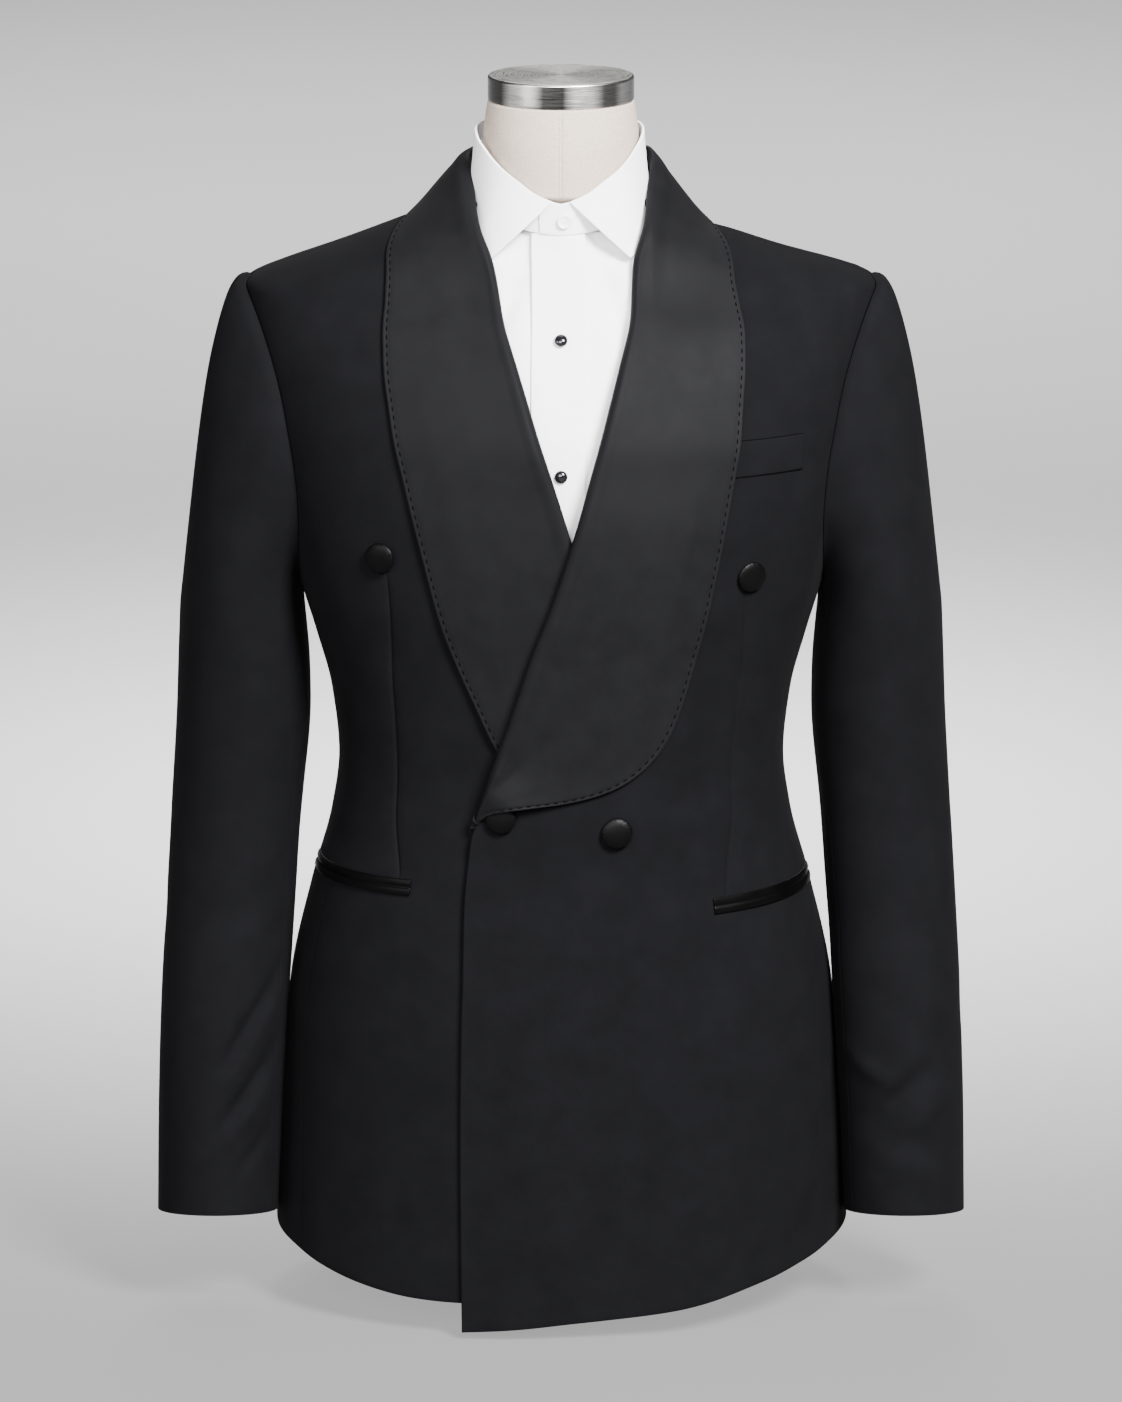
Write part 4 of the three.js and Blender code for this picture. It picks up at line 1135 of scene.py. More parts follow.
def add_sleeve(name, side, from_angle, to_angle, columns):
    gap = SEAM_GAP / 2 / (SLEEVE_RADIUS * np.radians(1))
    width = abs(to_angle - from_angle) * SLEEVE_RADIUS * np.radians(1)
    angle = mix(from_angle + gap, to_angle - gap, spaced(columns, width, SEAM_ROUND, SEAM_ROUND))[None]
    shares = spaced(42, 150, 0.9, 2)[:, None]
    cap = sleeve_cap(angle + 0 * shares, shares + 0 * angle, side)
    levels = mix(SLEEVE_TOP, CUFF_HEIGHT, spaced(130, 436, 3, WOOL_WALL / 2))[1:, None]
    arm = sleeve_ring(angle + 0 * levels, levels + 0 * angle, side)
    points = np.concatenate([cap, arm])
    join = len(cap) - 1
    low, high = join - CAP_SMOOTHING.before, join + CAP_SMOOTHING.after
    for _ in range(CAP_SMOOTHING.times):
        points[low:high] = (points[low - 1:high - 1] + 2 * points[low:high] + points[low + 1:high + 1]) / 4
    high = np.maximum(0, cos(angle)) ** 0.7
    run = lengths_from_start(points, 0)
    rope = -(0.9 * bump(run, 6, 5) - 0.5 * bump(run, 0, 2.2)) * high
    dimples = 0.35 * sin(11 * angle) * bump(run, 16, 12) * high
    rounds = (SEAM_ROUND, SEAM_ROUND, SEAM_ROUND, WOOL_WALL / 2)
    return cloth(f"jacket_{name}_{side}", mirrored(points, side), WOOL_WALL, "wool", facing(side), rounds,
                 f"{name}_{side}", rope + dimples)


# The shawl collar

# Where the left lapel stands off the front, over the fastened button and the chest welt, and where it is
# hollow: the height, then the middle and the spread one way and the other
LAPEL_LIFTS = [(7.4, -17, 12, 370, 26), (1.9, 47, 6, 618, 26)]
LAPEL_HOLLOWS = [(1.7, 0.33, 0.09, 0.09, 0.04), (-0.8, 0.6, 0.14, 0.1, 0.06)]
SLANTED_HOLLOW = SimpleNamespace(slope=1.4, row=0.3, hump=(0.9, 0.55, 0.1, 0.3, 0.09))
HOLLOW_FADE = (14, 26)

# Shares of the shawl's length where it comes from under the other front, and where its tip and collar begin
SHAWL_FADES = SimpleNamespace(hidden=(0.475, 0.56), tapered=(0, 0.06), tip=(0, 0.022), collar=(0.78, 0.9))
TIP_DEPTH = 2.6

# How much of its roll the right lapel loses where the left front covers it
COVERED_ROLL_LOSS = 0.82


def shawl_stand_off(side, turn, z):
    if side == "right":
        return 0 * turn
    return sum(hump(turn, z, *lift) for lift in LAPEL_LIFTS)


def shawl_stops(side, along):
    """The nine points of the lapel's or collar's section at places along the shawl."""
    row = SHAWL[side]
    fold_turn, fold_z = row.fold_turn(along), row.fold_z(along)
    edge_turn, edge_z = row.edge_turn(along), row.edge_z(along)
    width = np.linalg.norm(skin(fold_turn, fold_z) - skin(edge_turn, edge_z), axis=-1)
    hidden = 1 - smoothstep(along, *SHAWL_FADES.hidden) if side == "right" else 0
    size = np.minimum(1, 0.25 + width / 60) * (1 - COVERED_ROLL_LOSS * hidden)
    tapered = smoothstep(along, *SHAWL_FADES.tapered) if side == "left" else 1 + 0 * along
    tip_dive = 1 - smoothstep(along, *SHAWL_FADES.tip) if side == "left" else 0
    around = smoothstep(along, *SHAWL_FADES.collar)[..., None]
    edge = lifted(edge_turn, edge_z, LAPEL_FLAT)
    fold = lifted(fold_turn, fold_z - 2, COLLAR_FALL[0][1])
    stand_base = np.minimum(NECK_SEAM_HEIGHT + 0.6, fold_z - 8)
    made = []
    for stop, (across, ahead, above) in enumerate(LAPEL_SECTION):
        turn = mix(fold_turn, edge_turn, across) - as_turn(ahead * size * tapered, fold_z)
        z = mix(fold_z, edge_z, across)
        height = mix(LAPEL_FLAT, above, size) if above > LAPEL_FLAT else above
        height = mix(min(above, 0.6), height, tapered) - TIP_DEPTH * tip_dive
        stand_off = shawl_stand_off(side, turn, z) * min(1, stop / 3) * tapered
        on_lapel = lifted(turn, z, overlap_lift(side, turn, z) + height + stand_off)
        if stop < len(COLLAR_STAND):
            share, out = COLLAR_STAND[stop]
            on_collar = lifted(fold_turn, mix(stand_base, fold_z, share), out)
        else:
            share, out = COLLAR_FALL[stop - len(COLLAR_STAND)]
            on_collar = fold + (edge - fold) * share + outward(edge_turn, edge_z) * out
        made.append(mix(on_lapel, on_collar, around))
    return np.stack(made, axis=1)


NECK_EVENING = SimpleNamespace(rows=26, middle=0.845, spread=0.075, times=3)


def evened(stops, along):
    """The stops with short waves along the neck drawn out, for a smooth roll up to the collar."""
    rows = np.arange(len(stops))
    reach = np.round(NECK_EVENING.rows * bump(along, NECK_EVENING.middle, NECK_EVENING.spread)).astype(int)
    reach = np.minimum(reach, np.minimum(rows, len(stops) - 1 - rows))
    for _ in range(NECK_EVENING.times):
        total = np.concatenate([np.zeros_like(stops[:1]), np.cumsum(stops, axis=0)])
        stops = (total[rows + reach + 1] - total[rows - reach]) / (2 * reach + 1)[:, None, None]
    return stops


def splined(stops, counts):
    """A smooth line through the stops of each row, with a number of points in each interval."""
    gaps = np.linalg.norm(np.diff(stops, axis=1), axis=-1)[..., None] + 1e-6
    slopes = np.diff(stops, axis=1) / gaps
    inner = (slopes[:, :-1] * gaps[:, 1:] + slopes[:, 1:] * gaps[:, :-1]) / (gaps[:, :-1] + gaps[:, 1:])
    tangents = np.concatenate([slopes[:, :1], inner, slopes[:, -1:]], axis=1)
    made = []
    for k, count in enumerate(counts):
        t = np.linspace(0, 1, count, endpoint=k == len(counts) - 1)[None, :, None]
        a, b = stops[:, k:k + 1], stops[:, k + 1:k + 2]
        start = (1 + 2 * t) * (1 - t) ** 2 * a + t * (1 - t) ** 2 * gaps[:, k:k + 1] * tangents[:, k:k + 1]
        end = t * t * (3 - 2 * t) * b + t * t * (t - 1) * gaps[:, k:k + 1] * tangents[:, k + 1:k + 2]
        made.append(start + end)
    return np.concatenate(made, axis=1)


SHAWL_END = 1 - 0.00004
PICK = SimpleNamespace(
    inset=3.1, pitch=6.3, length=4.1, radius=0.55, sunk=0.5, start=0.012, end=0.93, column=10
)
LAPEL_COLUMNS = (6, 6, 6, 10, 8, 8, 8, 18)
LAPEL_EDGE_STEPS = np.array([3.2, 2.0, 1.3, 0.7, 0.3, 0.1])
LAPEL_INNER_COLUMNS = 12
NARROW_LAPEL = 6


def add_shawl(side):
    evenly = np.linspace(0, 1, 1200) * SHAWL_END
    stops = evened(shawl_stops(side, evenly), evenly)
    run = lengths_from_start(stops, 0)
    edge_run, middle_run = run[:, -1], run[:, 4]
    both = edge_run / edge_run[-1] + middle_run / middle_run[-1]
    wanted = spaced(300, 620, SATIN_WALL / 2, SEAM_ROUND) * both[-1]
    along = np.interp(wanted, both, evenly)
    place = along / SHAWL_END * (len(evenly) - 1)
    below = np.clip(place.astype(int), 0, len(evenly) - 2)
    share = (place - below)[:, None, None]
    points = splined(mix(stops[below], stops[below + 1], share), LAPEL_COLUMNS)
    flat = LAPEL_COLUMNS[-1]
    last, before = points[:, -1], points[:, -flat]
    width = np.maximum(np.linalg.norm(last - before, axis=-1)[:, None], NARROW_LAPEL)
    shares = 1 - LAPEL_EDGE_STEPS[None] / width
    close = mix(before[:, None], last[:, None], shares[..., None])
    inner = mix(before[:, None], close[:, :1], np.linspace(0, 1, LAPEL_INNER_COLUMNS)[None, :, None])
    base = np.concatenate([points[:, :-flat], inner, close[:, 1:], last[:, None]], axis=1)
    across = lengths_from_start(base, 1)
    from_edge = across[:, -1:] - across
    quilt = 0.4 * bump(from_edge, PICK.inset, 1.2)
    belly = 0.35 * sin(from_edge * 5) * bump(from_edge, 34, 18) * sin(wanted[:, None] * 360)
    rounds = (SATIN_WALL / 2, SATIN_WALL / 2 * 0.9, SATIN_WALL / 2, SEAM_ROUND)
    sunk = quilt + belly
    if side == "left":
        share = across / across[:, -1:]
        row = along[:, None]
        slanted = share - SLANTED_HOLLOW.slope * (row - SLANTED_HOLLOW.row)
        hollow = sum(hump(share, row, *place) for place in LAPEL_HOLLOWS)
        hollow = hollow + hump(slanted, row, *SLANTED_HOLLOW.hump)
        sunk = sunk + hollow * smoothstep(across, *HOLLOW_FADE)
    grid = mirrored(base, side)
    made = cloth(f"shawl_collar_{side}", grid, SATIN_WALL, "satin", facing(side), rounds,
                 f"shawl_{side}", sunk)
    normal = normals_of(grid, facing(side))
    share = np.clip(1 - PICK.inset / width, 0, 1)
    path = mirrored(mix(before, last, share), side)
    lean = normal[:, -PICK.column]
    shown = (along > PICK.start) & (along < PICK.end)
    path, lean = path[shown] - lean[shown] * PICK.sunk, lean[shown]
    ends = along_path(path, lean, PICK.pitch, PICK.length, 3)
    threads(f"pick_stitches_{side}", *ends, PICK.radius, "thread")
    return made


# Welts and fasteners

STRIP_GAP = 0.35
HIP = SimpleNamespace(turns=(44.8, 86), height=11, wall=1.3)


def add_strip(name, node, side, turns, z_middle, height, thickness, slope, finish, rounds, sunk=None):
    """A flat strip on the jacket between two turns and two heights."""
    shares = spaced(70, 80, rounds[0], rounds[1])[None]
    t = spaced(14, height, rounds[2], rounds[3])[:, None]
    turn = mix(turns[0], turns[1], shares) + 0 * t
    z = z_middle + (t - 0.5) * height + slope * (shares - 0.5)
    points = lifted(turn, z, thickness + STRIP_GAP + overlap_lift(side, turn, z))
    relief = None if sunk is None else sunk(t * height, shares)
    return cloth(name, mirrored(points, side), thickness, finish, facing(side), rounds, node, relief)


def jetted(height):
    """Two rolled jets with the pocket's mouth between them."""
    def relief(over, shares):
        mouth = 0.75 * bump(over, height / 2, 0.7)
        jets = 0.25 * (bump(over, height * 0.25, 1.8) + bump(over, height * 0.75, 1.8))
        return mouth - jets + 0 * shares
    return relief


# The rows of black stitches that paint the shadow lines at the chest welt's edges
WELT_SHADOW_LINE = SimpleNamespace(
    turns=(43, 62.4), heights=(606.8, 631.3), slope=1.5, pitch=2.1, length=2.0, radius=0.4, off=1.25
)


def add_welt_shadow_stitches():
    """Stitch lines of black thread along the top and the foot of the chest pocket's welt: sewing that also
    serves as painted shadow lines at its edges.
    """
    rows = []
    share = np.linspace(0, 1, 120)
    turn = mix(*WELT_SHADOW_LINE.turns, share)
    for height in WELT_SHADOW_LINE.heights:
        z = height + WELT_SHADOW_LINE.slope * (share - 0.5)
        lift = WELT_SHADOW_LINE.off + overlap_lift("left", turn, z)
        rows.append(along_path(lifted(turn, z, lift), outward(turn, z), WELT_SHADOW_LINE.pitch, WELT_SHADOW_LINE.length))
    ends = [np.concatenate(parts) for parts in zip(*rows)]
    return threads("chest_welt_shadow_stitches", *ends, WELT_SHADOW_LINE.radius, "thread", sag=0.1, along=5)


BUTTON_RADIUS = 10.7


def add_button(name, node, turn, z, lift):
    radius = BUTTON_RADIUS
    profile = [
        (0.01, 0.6), (3.5, 0.6), (3.5, 1.7), (radius - 2.2, 1.75), (radius - 1.0, 2.0), (radius - 0.3, 2.5),
        (radius, 3.1), (radius - 0.12, 3.6), (radius - 0.5, 4.05), (radius - 1.2, 4.5),
        (radius * 0.78, 5.05), (radius * 0.6, 5.5), (radius * 0.4, 5.8), (radius * 0.2, 5.95), (0.01, 6.0),
    ]
    place = lifted(turn, z, lift)
    direction = outward(turn, z)

    def creases(radius_at, angle):
        rim = bump(radius_at, radius - 0.4, 0.9)
        return 0.12 * rim * np.sin(17 * angle + 0.6 * np.sin(3 * angle))

    return turned(name, profile, place, direction, "satin_button", node, relief=creases)


# The shirt

SHIRT_EASE = 9
SHIRT_LOW = 70
SHIRT_TOP = 791
SHIRT_NECKLINE = curves("turn z", [[0, 767], [30, 770], [60, 782], [90, 787], [180, 787]])


def shirt_lift(turn, z):
    return -inside_by("shirt", turn, z)


def shirt_border(z, behind):
    bottom = ARMHOLE.middle_z - ARMHOLE.half_height - SHIRT_EASE
    border = np.where(z < bottom, 90, armhole_turn(z, behind, SHIRT_EASE))
    return np.where(z > SHOULDER_HEIGHT + SHIRT_EASE, 90, border)


def shirt_folds(turn, z):
    """Soft upright folds beside the placket, under the collar's points, and slow swells lower down."""
    left = 4.2 * bump(turn + 0.1 * (z - 715), 24, 4) - 2 * bump(turn, 33, 5)
    right = 4.8 * bump(turn - 0.12 * (z - 715), -25, 4) - 2 * bump(turn, -35, 5)
    upper = (left + right) * bump(z, 712, 34)
    lower = 1.2 * bump(z, 640, 50) * (bump(turn, 15, 4) + bump(turn, -18, 4))
    return upper + lower


def shirt_grid(side, behind, levels, shares):
    gap = as_turn(SEAM_GAP / 2, levels)
    border = shirt_border(levels, behind)
    start, end = (border + gap, 360 - border - gap) if behind else (gap, border - gap)
    turn = between(start, end, shares, levels)
    folded = np.where(turn > 180, 360 - turn, turn)
    z = levels - (SHIRT_TOP - SHIRT_NECKLINE.z(folded)) * smoothstep(levels, 690, SHIRT_TOP)
    return turn, z, mirrored(lifted(turn, z, shirt_lift(turn, z)), side)


def add_shirt_front(side):
    levels = level_rows(SHIRT_LOW, SHIRT_TOP, 5.5, armhole_levels())[:, None]
    turn, z, points = shirt_grid(side, False, levels, spaced(48, 200, 0.5, 0.5))
    signed = turn * facing(side)
    fade = smoothstep(np.abs(turn), 14, 22)
    sunk = shirt_folds(signed, z) * fade
    rounds = (0.3, 0.3, 0.45, 0.3)
    return cloth(f"dress_shirt_front_{side}", points, SHIRT_WALL, "cotton", facing(side), rounds,
                 f"shirt_front_{side}", sunk)


def add_shirt_back():
    levels = level_rows(SHIRT_LOW, SHIRT_TOP, 8, armhole_levels())[:, None]
    _, _, points = shirt_grid("left", True, levels, spaced(64, 400, 0.5, 0.5))
    return cloth("dress_shirt_back", points, SHIRT_WALL, "cotton", 1, (0.3, 0.3, 0.45, 0.3), "shirt_back")


PLACKET = SimpleNamespace(left=15.7, right=-19.1, wall=1.0, bottom=300, stitch_inset=5.5)
STITCH = SimpleNamespace(off=0.06, pitch=2.3, length=1.7, radius=0.13, sag=0.12)


def sew(name, rows, finish="cotton_thread", radius=STITCH.radius, sag=STITCH.sag):
    """One piece from the rows of stitches that it is given."""
    ends = [np.concatenate(parts) for parts in zip(*rows)]
    return threads(name, *ends, radius, finish, sag=sag, along=5)


def placket_point(x, level):
    top = SHIRT_NECKLINE.z(0) - 0.5
    z = level - (SHIRT_TOP - top) * smoothstep(level, 690, SHIRT_TOP)
    turn = np.degrees(np.arctan2(x, JACKET.front(z) + shirt_lift(0, z)))
    proud = 0.5 + 1.9 * smoothstep(level, 695, 745)
    lift = shirt_lift(turn, z) + proud + PLACKET.wall
    return lifted(turn, z, lift), outward(turn, z)


def add_placket():
    levels = level_rows(PLACKET.bottom, SHIRT_TOP, 3)[:, None]
    x = mix(PLACKET.right, PLACKET.left, spaced(26, 35, 0.5, 0.5))[None]
    points, _ = placket_point(x + 0 * levels, levels + 0 * x)
    swell = -0.25 * np.cos(2 * np.pi * (x - PLACKET.right) / (PLACKET.left - PLACKET.right)) + 0 * levels
    rounds = (0.5, 0.5, 0.5, 0.3)
    made = cloth("dress_shirt_placket", points, PLACKET.wall, "cotton", 1, rounds, "shirt_placket", swell)
    stitched = []
    line = np.linspace(470, SHIRT_TOP - 2, 400)
    for where in (PLACKET.right + PLACKET.stitch_inset, PLACKET.left - PLACKET.stitch_inset):
        path, lean = placket_point(where + 0 * line, line)
        stitched.append(along_path(path + lean * STITCH.off, lean, STITCH.pitch, STITCH.length))
    sew("placket_stitches", stitched)
    return made


BAND = SimpleNamespace(off=0.6, wall=1, lap=1.3, lap_turn=12, start=-14, end=352, radius=56, corner=8)
BAND_BOTTOM = curves("turn z", [[0, 763.6], [28, 767], [45, 778], [60, 784], [90, 792], [180, 793]])
BAND_TOP = curves("turn z", [[0, 786], [40, 797], [90, 820], [180, 824]])


def folded_turn(turn):
    return np.abs((turn + 180) % 360 - 180)


def band_point(turn, t):
    lap = BAND.lap * (1 - smoothstep(turn, BAND.start + BAND.lap_turn, BAND.start + 6 * BAND.lap_turn))
    near_end = np.clip((turn - BAND.start) * BAND.radius * np.radians(1), 0, BAND.corner)
    corner = BAND.corner - np.sqrt(BAND.corner ** 2 - (BAND.corner - near_end) ** 2)
    low = BAND_BOTTOM.z(folded_turn(turn))
    high = BAND_TOP.z(folded_turn(turn)) - corner
    lean = -1.3 * (1 - np.clip(t, 0, 1)) ** 2 * (cos(turn) > 0) * cos(turn) ** 2
    return lifted(turn, mix(low, high, t), BAND.off + BAND.wall + lap + lean, NECK)


def add_band():
    s = spaced(180, 350, 0.5, 0.5)
    s = np.sort(np.concatenate([s, np.linspace(0.003, 0.03, 14)]))[None]
    turn = mix(BAND.start, BAND.end, s)
    t = spaced(12, 25, 0.5, 0.5)[:, None]
    points = band_point(turn + 0 * t, t + 0 * turn)
    made = cloth("collar_stand_band", points, BAND.wall, "cotton", 1, (0.5, 0.5, 0.5, 0.5), "collar_band")
    line = np.linspace(BAND.start + 2, 40, 200)
    path = band_point(line, 0.09 + 0 * line)
    lean = outward(line, BAND_BOTTOM.z(np.abs(line)), NECK)
    sew("band_stitches", [along_path(path + lean * STITCH.off, lean, STITCH.pitch, STITCH.length)])
    return made


LEAF = SimpleNamespace(wall=1, belly=2.4, roll=1.0, stitch_inset=5, point_turn=40, point_z=775)
LEAF_ROWS = curves("along fold_turn fold_z fold_off edge_turn edge_z edge_off", [
    [0, 6, 787, 4.4, 35.4, 750, 23.5],
    [0.1, 16, 791, 4.2, 42, 753, 21.5],
    [0.22, 31, 800, 3.6, 52, 759, 18],
    [0.3, 42, 806, 4.0, 60, 766, 14],
    [0.36, 50, 811, 4.2, 66, 770, 12],
    [0.5, 68, 822, 4.4, 80, 774, 10],
    [0.7, 95, 830, 4.0, 96, 792, 4.6],
    [1, 180, 833, 3.5, 180, 795, 3.4],
], reach=0.02)
LEAF_LEAN = SimpleNamespace(start=35, end=75, off=2.2)


def leaf_point(s, t):
    """A point of the turned-down collar: t is 0 at its lower edge and 1 at the fold, then rolls inwards."""
    along = 1 - np.abs(1 - 2 * s)
    row = SimpleNamespace(**{name: curve(along) for name, curve in vars(LEAF_ROWS).items()})
    fold = lifted(row.fold_turn, row.fold_z, row.fold_off, NECK)
    edge = lifted(row.edge_turn, row.edge_z, row.edge_off, NECK)
    out = outward(row.fold_turn, row.fold_z, NECK)
    on = np.clip(t, 0, 1)
    belly = (0.2 + LEAF.belly * (1 - smoothstep(along, 0.2, 0.45))) * np.sin(np.pi * (1 - on))
    point = edge + (fold - edge) * on[..., None] + out * belly[..., None]
    over = np.clip(t - 1, 0, 1) * np.pi
    roll = stack(0, 0, LEAF.roll * np.sin(over)) - out * (LEAF.roll * (1 - np.cos(over)))[..., None]
    point = point + roll
    wider = smoothstep(row.fold_turn, LEAF_LEAN.start, LEAF_LEAN.end) * np.clip(sin(row.fold_turn), 0, 1)
    other = (point + stack(1, 0, 0) * (LEAF_LEAN.off * wider)[..., None]) * np.array([-1, 1, 1])
    return np.where((s <= 0.5)[..., None], point, other)


def add_leaf():
    s = np.unique(np.concatenate([spaced(150, 400, 0.5, 0.5), 0.5 + np.array([-0.002, 0, 0.002])]))[None]
    t = np.concatenate([spaced(26, 45, 0.5, 1.5), 1 + np.linspace(0.12, 0.9, 7)])[:, None]
    points = leaf_point(s + 0 * t, t + 0 * s)
    made = cloth("turned_down_collar", points, LEAF.wall, "cotton", 1, (0.5, 0.5, 0.5, 0), "shirt_collar")
    stitched = []
    for turn in (LEAF.point_turn, -LEAF.point_turn):
        line = np.linspace(0.02, 0.2, 300)
        line = line if turn > 0 else 1 - line
        tall = np.linalg.norm(leaf_point(line, 1 + 0 * line) - leaf_point(line, 0 * line), axis=-1)
        out = outward(turn + 0 * line, LEAF.point_z + 0 * line, NECK)
        path = leaf_point(line, LEAF.stitch_inset / tall) + out * STITCH.off
        stitched.append(along_path(path, out, STITCH.pitch, STITCH.length))
    sew("collar_stitches", stitched, radius=0.12, sag=0.1)
    return made


def add_stud(name, node, z, off):
    radius = 4.5
    angles = np.linspace(0, 90, 12)
    dome = [(radius * cos(a) + 0.01, 1.5 + 2.6 * sin(a)) for a in angles]
    stem = [(0.01, 0.6), (radius * 0.6, 0.6), (radius * 0.6, 1.0), (radius - 0.2, 1.1), (radius, 1.3)]
    place = lifted(0, z, shirt_lift(0, z) + PLACKET.wall + off)
    return turned(name, stem + dome[1:], place, outward(0, z), "onyx", node, around=48)


def add_collar_button():
    radius = 5
    profile = [
        (0.01, 0.3), (radius - 0.6, 0.3), (radius - 0.1, 0.6), (radius, 1.0), (radius - 0.15, 1.5),
        (radius - 0.6, 1.85), (radius - 1.1, 1.8), (radius - 1.5, 1.5), (radius - 2.0, 1.35), (0.01, 1.3),
    ]
    turn, z = 2, 773.7
    place = lifted(turn, z, BAND.off + BAND.wall + BAND.lap + 0.2, NECK)
    direction = outward(turn, z, NECK)
    turned("collar_front_button", profile, place, direction, "pearl", "collar_button", around=48)
    base, side, up, out = frame_at(place, direction)
    arm, face = 0.9, 1.35
    corners = [(-side - up, side + up), (up - side, side - up)]
    starts, ends = (np.array([base + pair[end] * arm + out * face for pair in corners]) for end in (0, 1))
    threads("collar_button_thread", starts, ends, np.repeat(out[None], 2, 0), 0.22, "cotton_thread")
    hole = np.linspace(5.6, 13.5, 26)[:-1]
    path = band_point(turn + hole / BAND.radius / np.radians(1), 0.49 + hole * 0.004)
    lean = np.repeat(out[None], len(path), 0)
    rows = [(path + up * (lip - 0.4), path + up * (lip + 0.4), lean) for lip in (-0.55, 0.55)]
    sew("collar_buttonhole", rows, radius=0.16, sag=0.15)


# The dress form

def add_form():
    around = np.linspace(-180, 180, 145)[:-1]
    foot, chest, shoulders = np.linspace(61, 100, 8), np.arange(108, 700, 9), np.arange(702, 787, 3)
    heights = np.concatenate([[60], foot, chest, shoulders])
    rings = []
    for z in heights:
        turn = np.sign(around) * between(0, 180, np.abs(around) / 180, z)
        deeper = 5 * (1 - smoothstep(z, 60, 66))
        ring = lifted(turn, z, -inside_by("form", turn, z) - deeper)
        if z < 100:
            ring[:, 2] = z
        rings.append(ring)
    for z in np.concatenate([np.linspace(789, 840, 27), np.linspace(841.5, 849.6, 6)]):
        groove = 0.5 * bump(around * 0.94, 0, 0.7) * (z < 848)
        rings.append(lifted(around, z, -groove, NECK))
    lump("form_torso_cloth", rings, "linen", "form_torso")
    line = np.linspace(783, 848, 300)
    for turn, name in ((-1.3, "a"), (1.3, "b")):
        path = lifted(turn + 0 * line, line, 0.02, NECK)
        lean = outward(turn + 0 * line, line, NECK)
        rows = [along_path(path, lean, 2.6, STITCH.length)]
        sew(f"neck_seam_stitches_{name}", rows, "linen_thread", radius=0.16, sag=0.1)


def add_cap():
    radius, bottom, top = 50.4, 850, 867
    edge = 1.6
    bend = [(radius - edge * (1 - cos(a)), top - edge * (1 - sin(a))) for a in np.linspace(0, 90, 9)]
    foot = [(0.01, bottom), (radius - 0.7, bottom), (radius - 0.2, bottom + 0.2), (radius, bottom + 0.7)]
    side = [(radius, z) for z in np.linspace(bottom + 2, top - edge - 0.5, 6)]
    face = [(r, top) for r in np.linspace(radius - edge - 0.5, 1, 24)] + [(0.01, top)]
    profile = [(r, z - bottom) for r, z in foot + side + bend + face]
    return turned("neck_cap_plate", profile, (0, 0, bottom), (0, 0, 1), "steel", "neck_cap", around=160)


def add_base():
    """The foot, from rows of a height and how much narrower it is there."""
    half_width, half_depth, middle_y, height = 98, 78, 22, 59
    angle = np.linspace(0, 2 * np.pi, 128, endpoint=False)
    sections = [
        (0, 2), (0.7, 0.8), (2, 0.2), (4, 0), (15, 0), (17, 0.7), (19, 2.6), (20.5, 6), (22, 14),
        (23.5, 30), (24.5, 38), (27, 42), (34, 44), (height + 0.7, 46),
    ]
    rings = [
        stack((half_width - shrink) * np.cos(angle), middle_y + (half_depth - shrink) * np.sin(angle), z)
        for z, shrink in sections
    ]
    return lump("form_foot", rings, "linen", "form_base")


# Building

cloth_parts = {}
for side in SIDES:
    cloth_parts[f"front_{side}"] = add_front(side)
    cloth_parts[f"side_{side}"] = add_side(side)
    cloth_parts[f"back_{side}"] = add_back(side)
    for name, (start, end, columns) in SLEEVE_PIECES.items():
        cloth_parts[f"{name}_{side}"] = add_sleeve(name, side, start, end, columns)
    cloth_parts[f"shawl_{side}"] = add_shawl(side)

for side, middle, slope in (("left", 305.6, 3), ("right", 316.4, -1)):
    cloth_parts[f"hip_welt_{side}"] = add_strip(
        f"hip_pocket_welt_{side}", f"hip_welt_{side}", side, HIP.turns, middle, HIP.height, HIP.wall, slope,
        "satin_dark", (0.5, 0.5, 0.6, 0.6), jetted(HIP.height),
    )
cloth_parts["chest_welt"] = add_strip(
    "chest_pocket_welt", "chest_welt", "left", (44, 62.2), 619, 24, 1.2, 1.5, "wool", (0.5, 0.5, 0.5, 0.5),
)

# Black stitch lines as painted shadow at the chest welt's edges
add_welt_shadow_stitches()

# Each button: its turn, its height, whether it sits on the overlap, and how far off
BUTTONS = {
    "button_upper_left": (51.2, 536.3, False, -0.4),
    "button_upper_right": (-48.4, 550.5, False, -0.4),
    "button_lower_left": (17.8, 360.2, True, 0),
    "button_fastened": (-19.2, 370.4, True, -0.8),
}
for node, (turn, z, on_overlap, off) in BUTTONS.items():
    turn, z = np.array(turn), np.array(z)
    add_button(f"covered_{node}", node, turn, z, off + (overlap_lift("left", turn, z) if on_overlap else 0))

for side in SIDES:
    cloth_parts[f"shirt_front_{side}"] = add_shirt_front(side)
cloth_parts["shirt_back"] = add_shirt_back()
cloth_parts["shirt_placket"] = add_placket()
cloth_parts["collar_band"] = add_band()
cloth_parts["shirt_collar"] = add_leaf()
add_collar_button()
add_stud("dress_stud_upper", "stud_upper", np.array(698.7), 0.9)
add_stud("dress_stud_lower", "stud_lower", np.array(609.2), 0)
add_form()
add_cap()
add_base()


for part, made in cloth_parts.items():
    kind = part.replace("_left", "").replace("_right", "")
    side = "left" if part.endswith("left") or kind == "chest_welt" else "right"


# The stage

def stage_material():
    """A pale painted floor, with part of its light its own so that shadows stay faint."""
    material, principled = start_material("pale_floor", (0.06, 0.0595, 0.0605), 0.95)
    principled.inputs["Specular IOR Level"].default_value = 0.1
    clouds = noise(material, scaled(material, object_coordinates(material), 900), detail=2)
    tint(material, principled, clouds, (0.058, 0.0575, 0.0585), (0.062, 0.0615, 0.0625))
    principled.inputs["Emission Color"].default_value = (0.53, 0.525, 0.535, 1)
    principled.inputs["Emission Strength"].default_value = 0.84
    return material


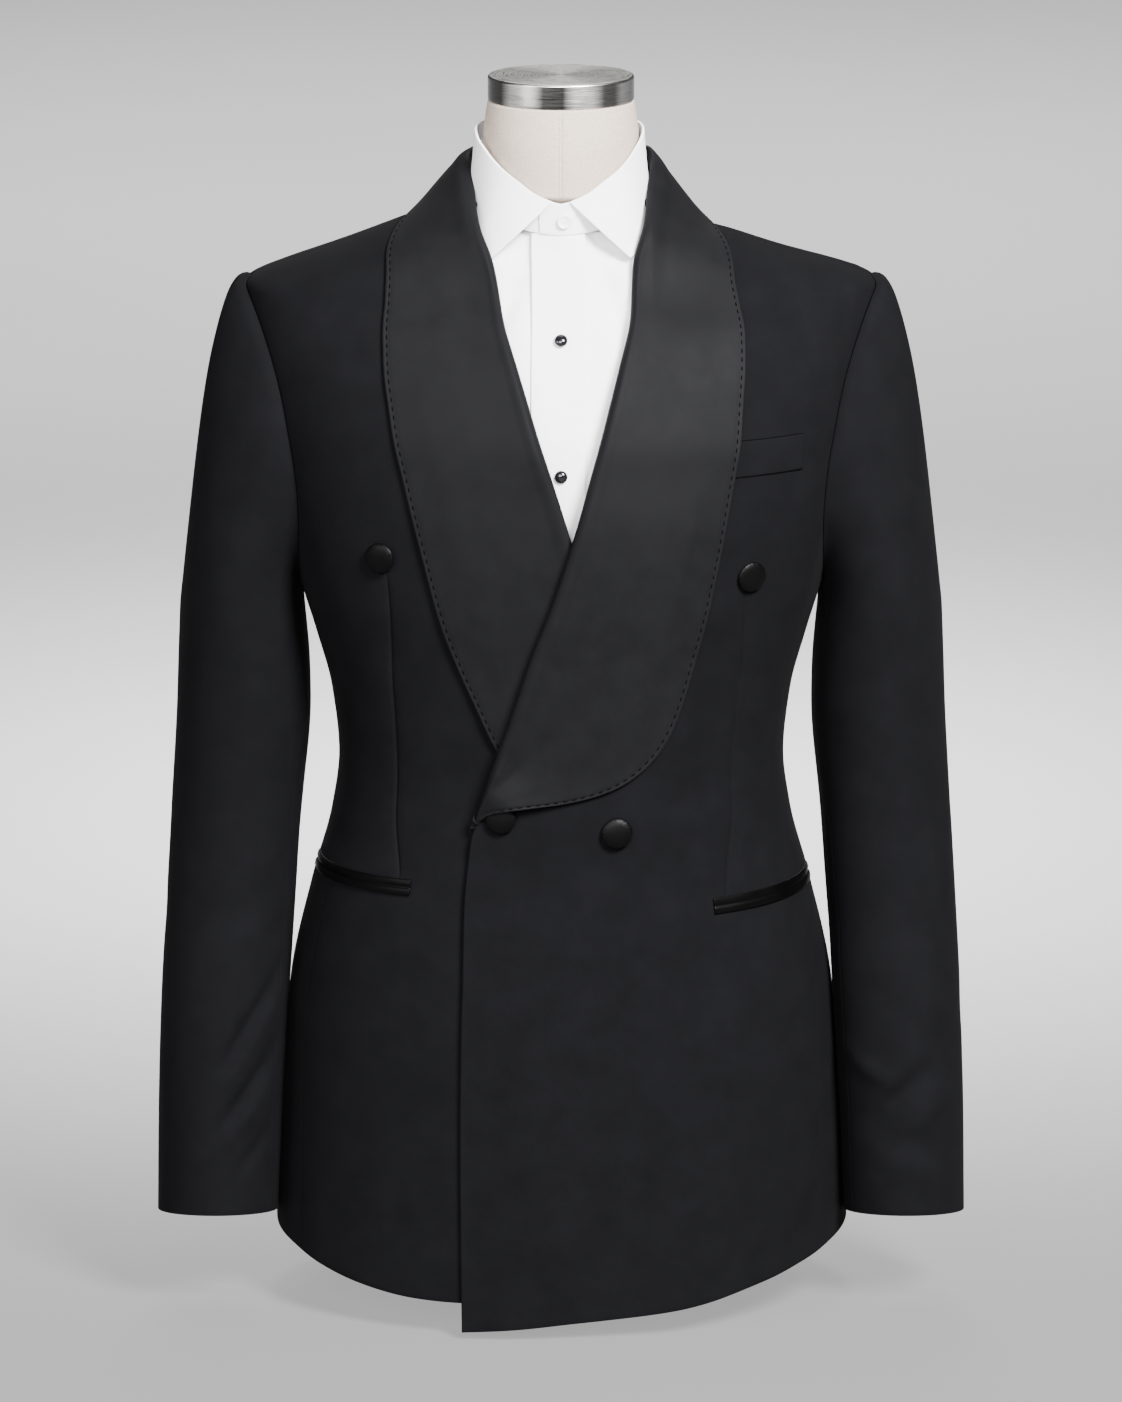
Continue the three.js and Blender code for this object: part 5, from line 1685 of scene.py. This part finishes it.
def add_floor():
    half = 16000
    spots = np.linspace(-half, half, 9)
    x, y = np.meshgrid(spots, spots)
    points = stack(x, y, 0).reshape(-1, 3) * MM
    mesh = bpy.data.meshes.new("studio_floor")
    mesh.from_pydata(points.tolist(), [], grid_faces(9, 9).tolist())
    mesh.materials.append(stage_material())
    made = bpy.data.objects.new("studio_floor", mesh)
    bpy.context.scene.collection.objects.link(made)


def add_light(name, place, size, power, target=(0, 0, 0.45), spread=180):
    data = bpy.data.lights.new(name, "AREA")
    data.shape = "RECTANGLE"
    data.size, data.size_y = size
    data.energy = power
    data.spread = np.radians(spread)
    made = bpy.data.objects.new(name, data)
    made.location = place
    made.rotation_euler = (Vector(target) - Vector(place)).to_track_quat("-Z", "Y").to_euler()
    bpy.context.scene.collection.objects.link(made)


def add_camera():
    elevation, distance, target, sensor = 13, 5.5, 0.425, 36
    focal_pixels, picture_pixels = 7857.1, 1402
    data = bpy.data.cameras.new("camera")
    data.sensor_fit = "VERTICAL"
    data.sensor_height = sensor
    data.lens = focal_pixels * sensor / picture_pixels
    made = bpy.data.objects.new("camera", data)
    made.location = (0, -distance * cos(elevation), target + distance * sin(elevation))
    made.rotation_euler = (np.radians(90 - elevation), 0, 0)
    bpy.context.scene.collection.objects.link(made)
    bpy.context.scene.camera = made


add_floor()
add_light("key_softbox", (1.5, -2.5, 2.8), (1.1, 1.1), 700)
add_light("front_softbox", (-0.7, -4.6, 2.4), (2.4, 1.8), 300)
add_light("fill_softbox", (-2.4, -2.2, 1.4), (1.2, 1.6), 70)
add_light("top_softbox", (0, 0.2, 3.2), (1.6, 1.2), 22)
add_light("floor_wash", (0, 4.8, 3.4), (2.6, 2.6), 620, target=(0, 4.4, 0), spread=110)
add_light("floor_pool", (0, 1.4, 2.4), (0.5, 0.5), 190, target=(0, 1.4, 0), spread=60)
world = bpy.data.worlds.new("studio")
world.use_nodes = True
world.node_tree.nodes["Background"].inputs[0].default_value = (0.8, 0.8, 0.82, 1)
world.node_tree.nodes["Background"].inputs[1].default_value = 0.09
bpy.context.scene.world = world
add_camera()
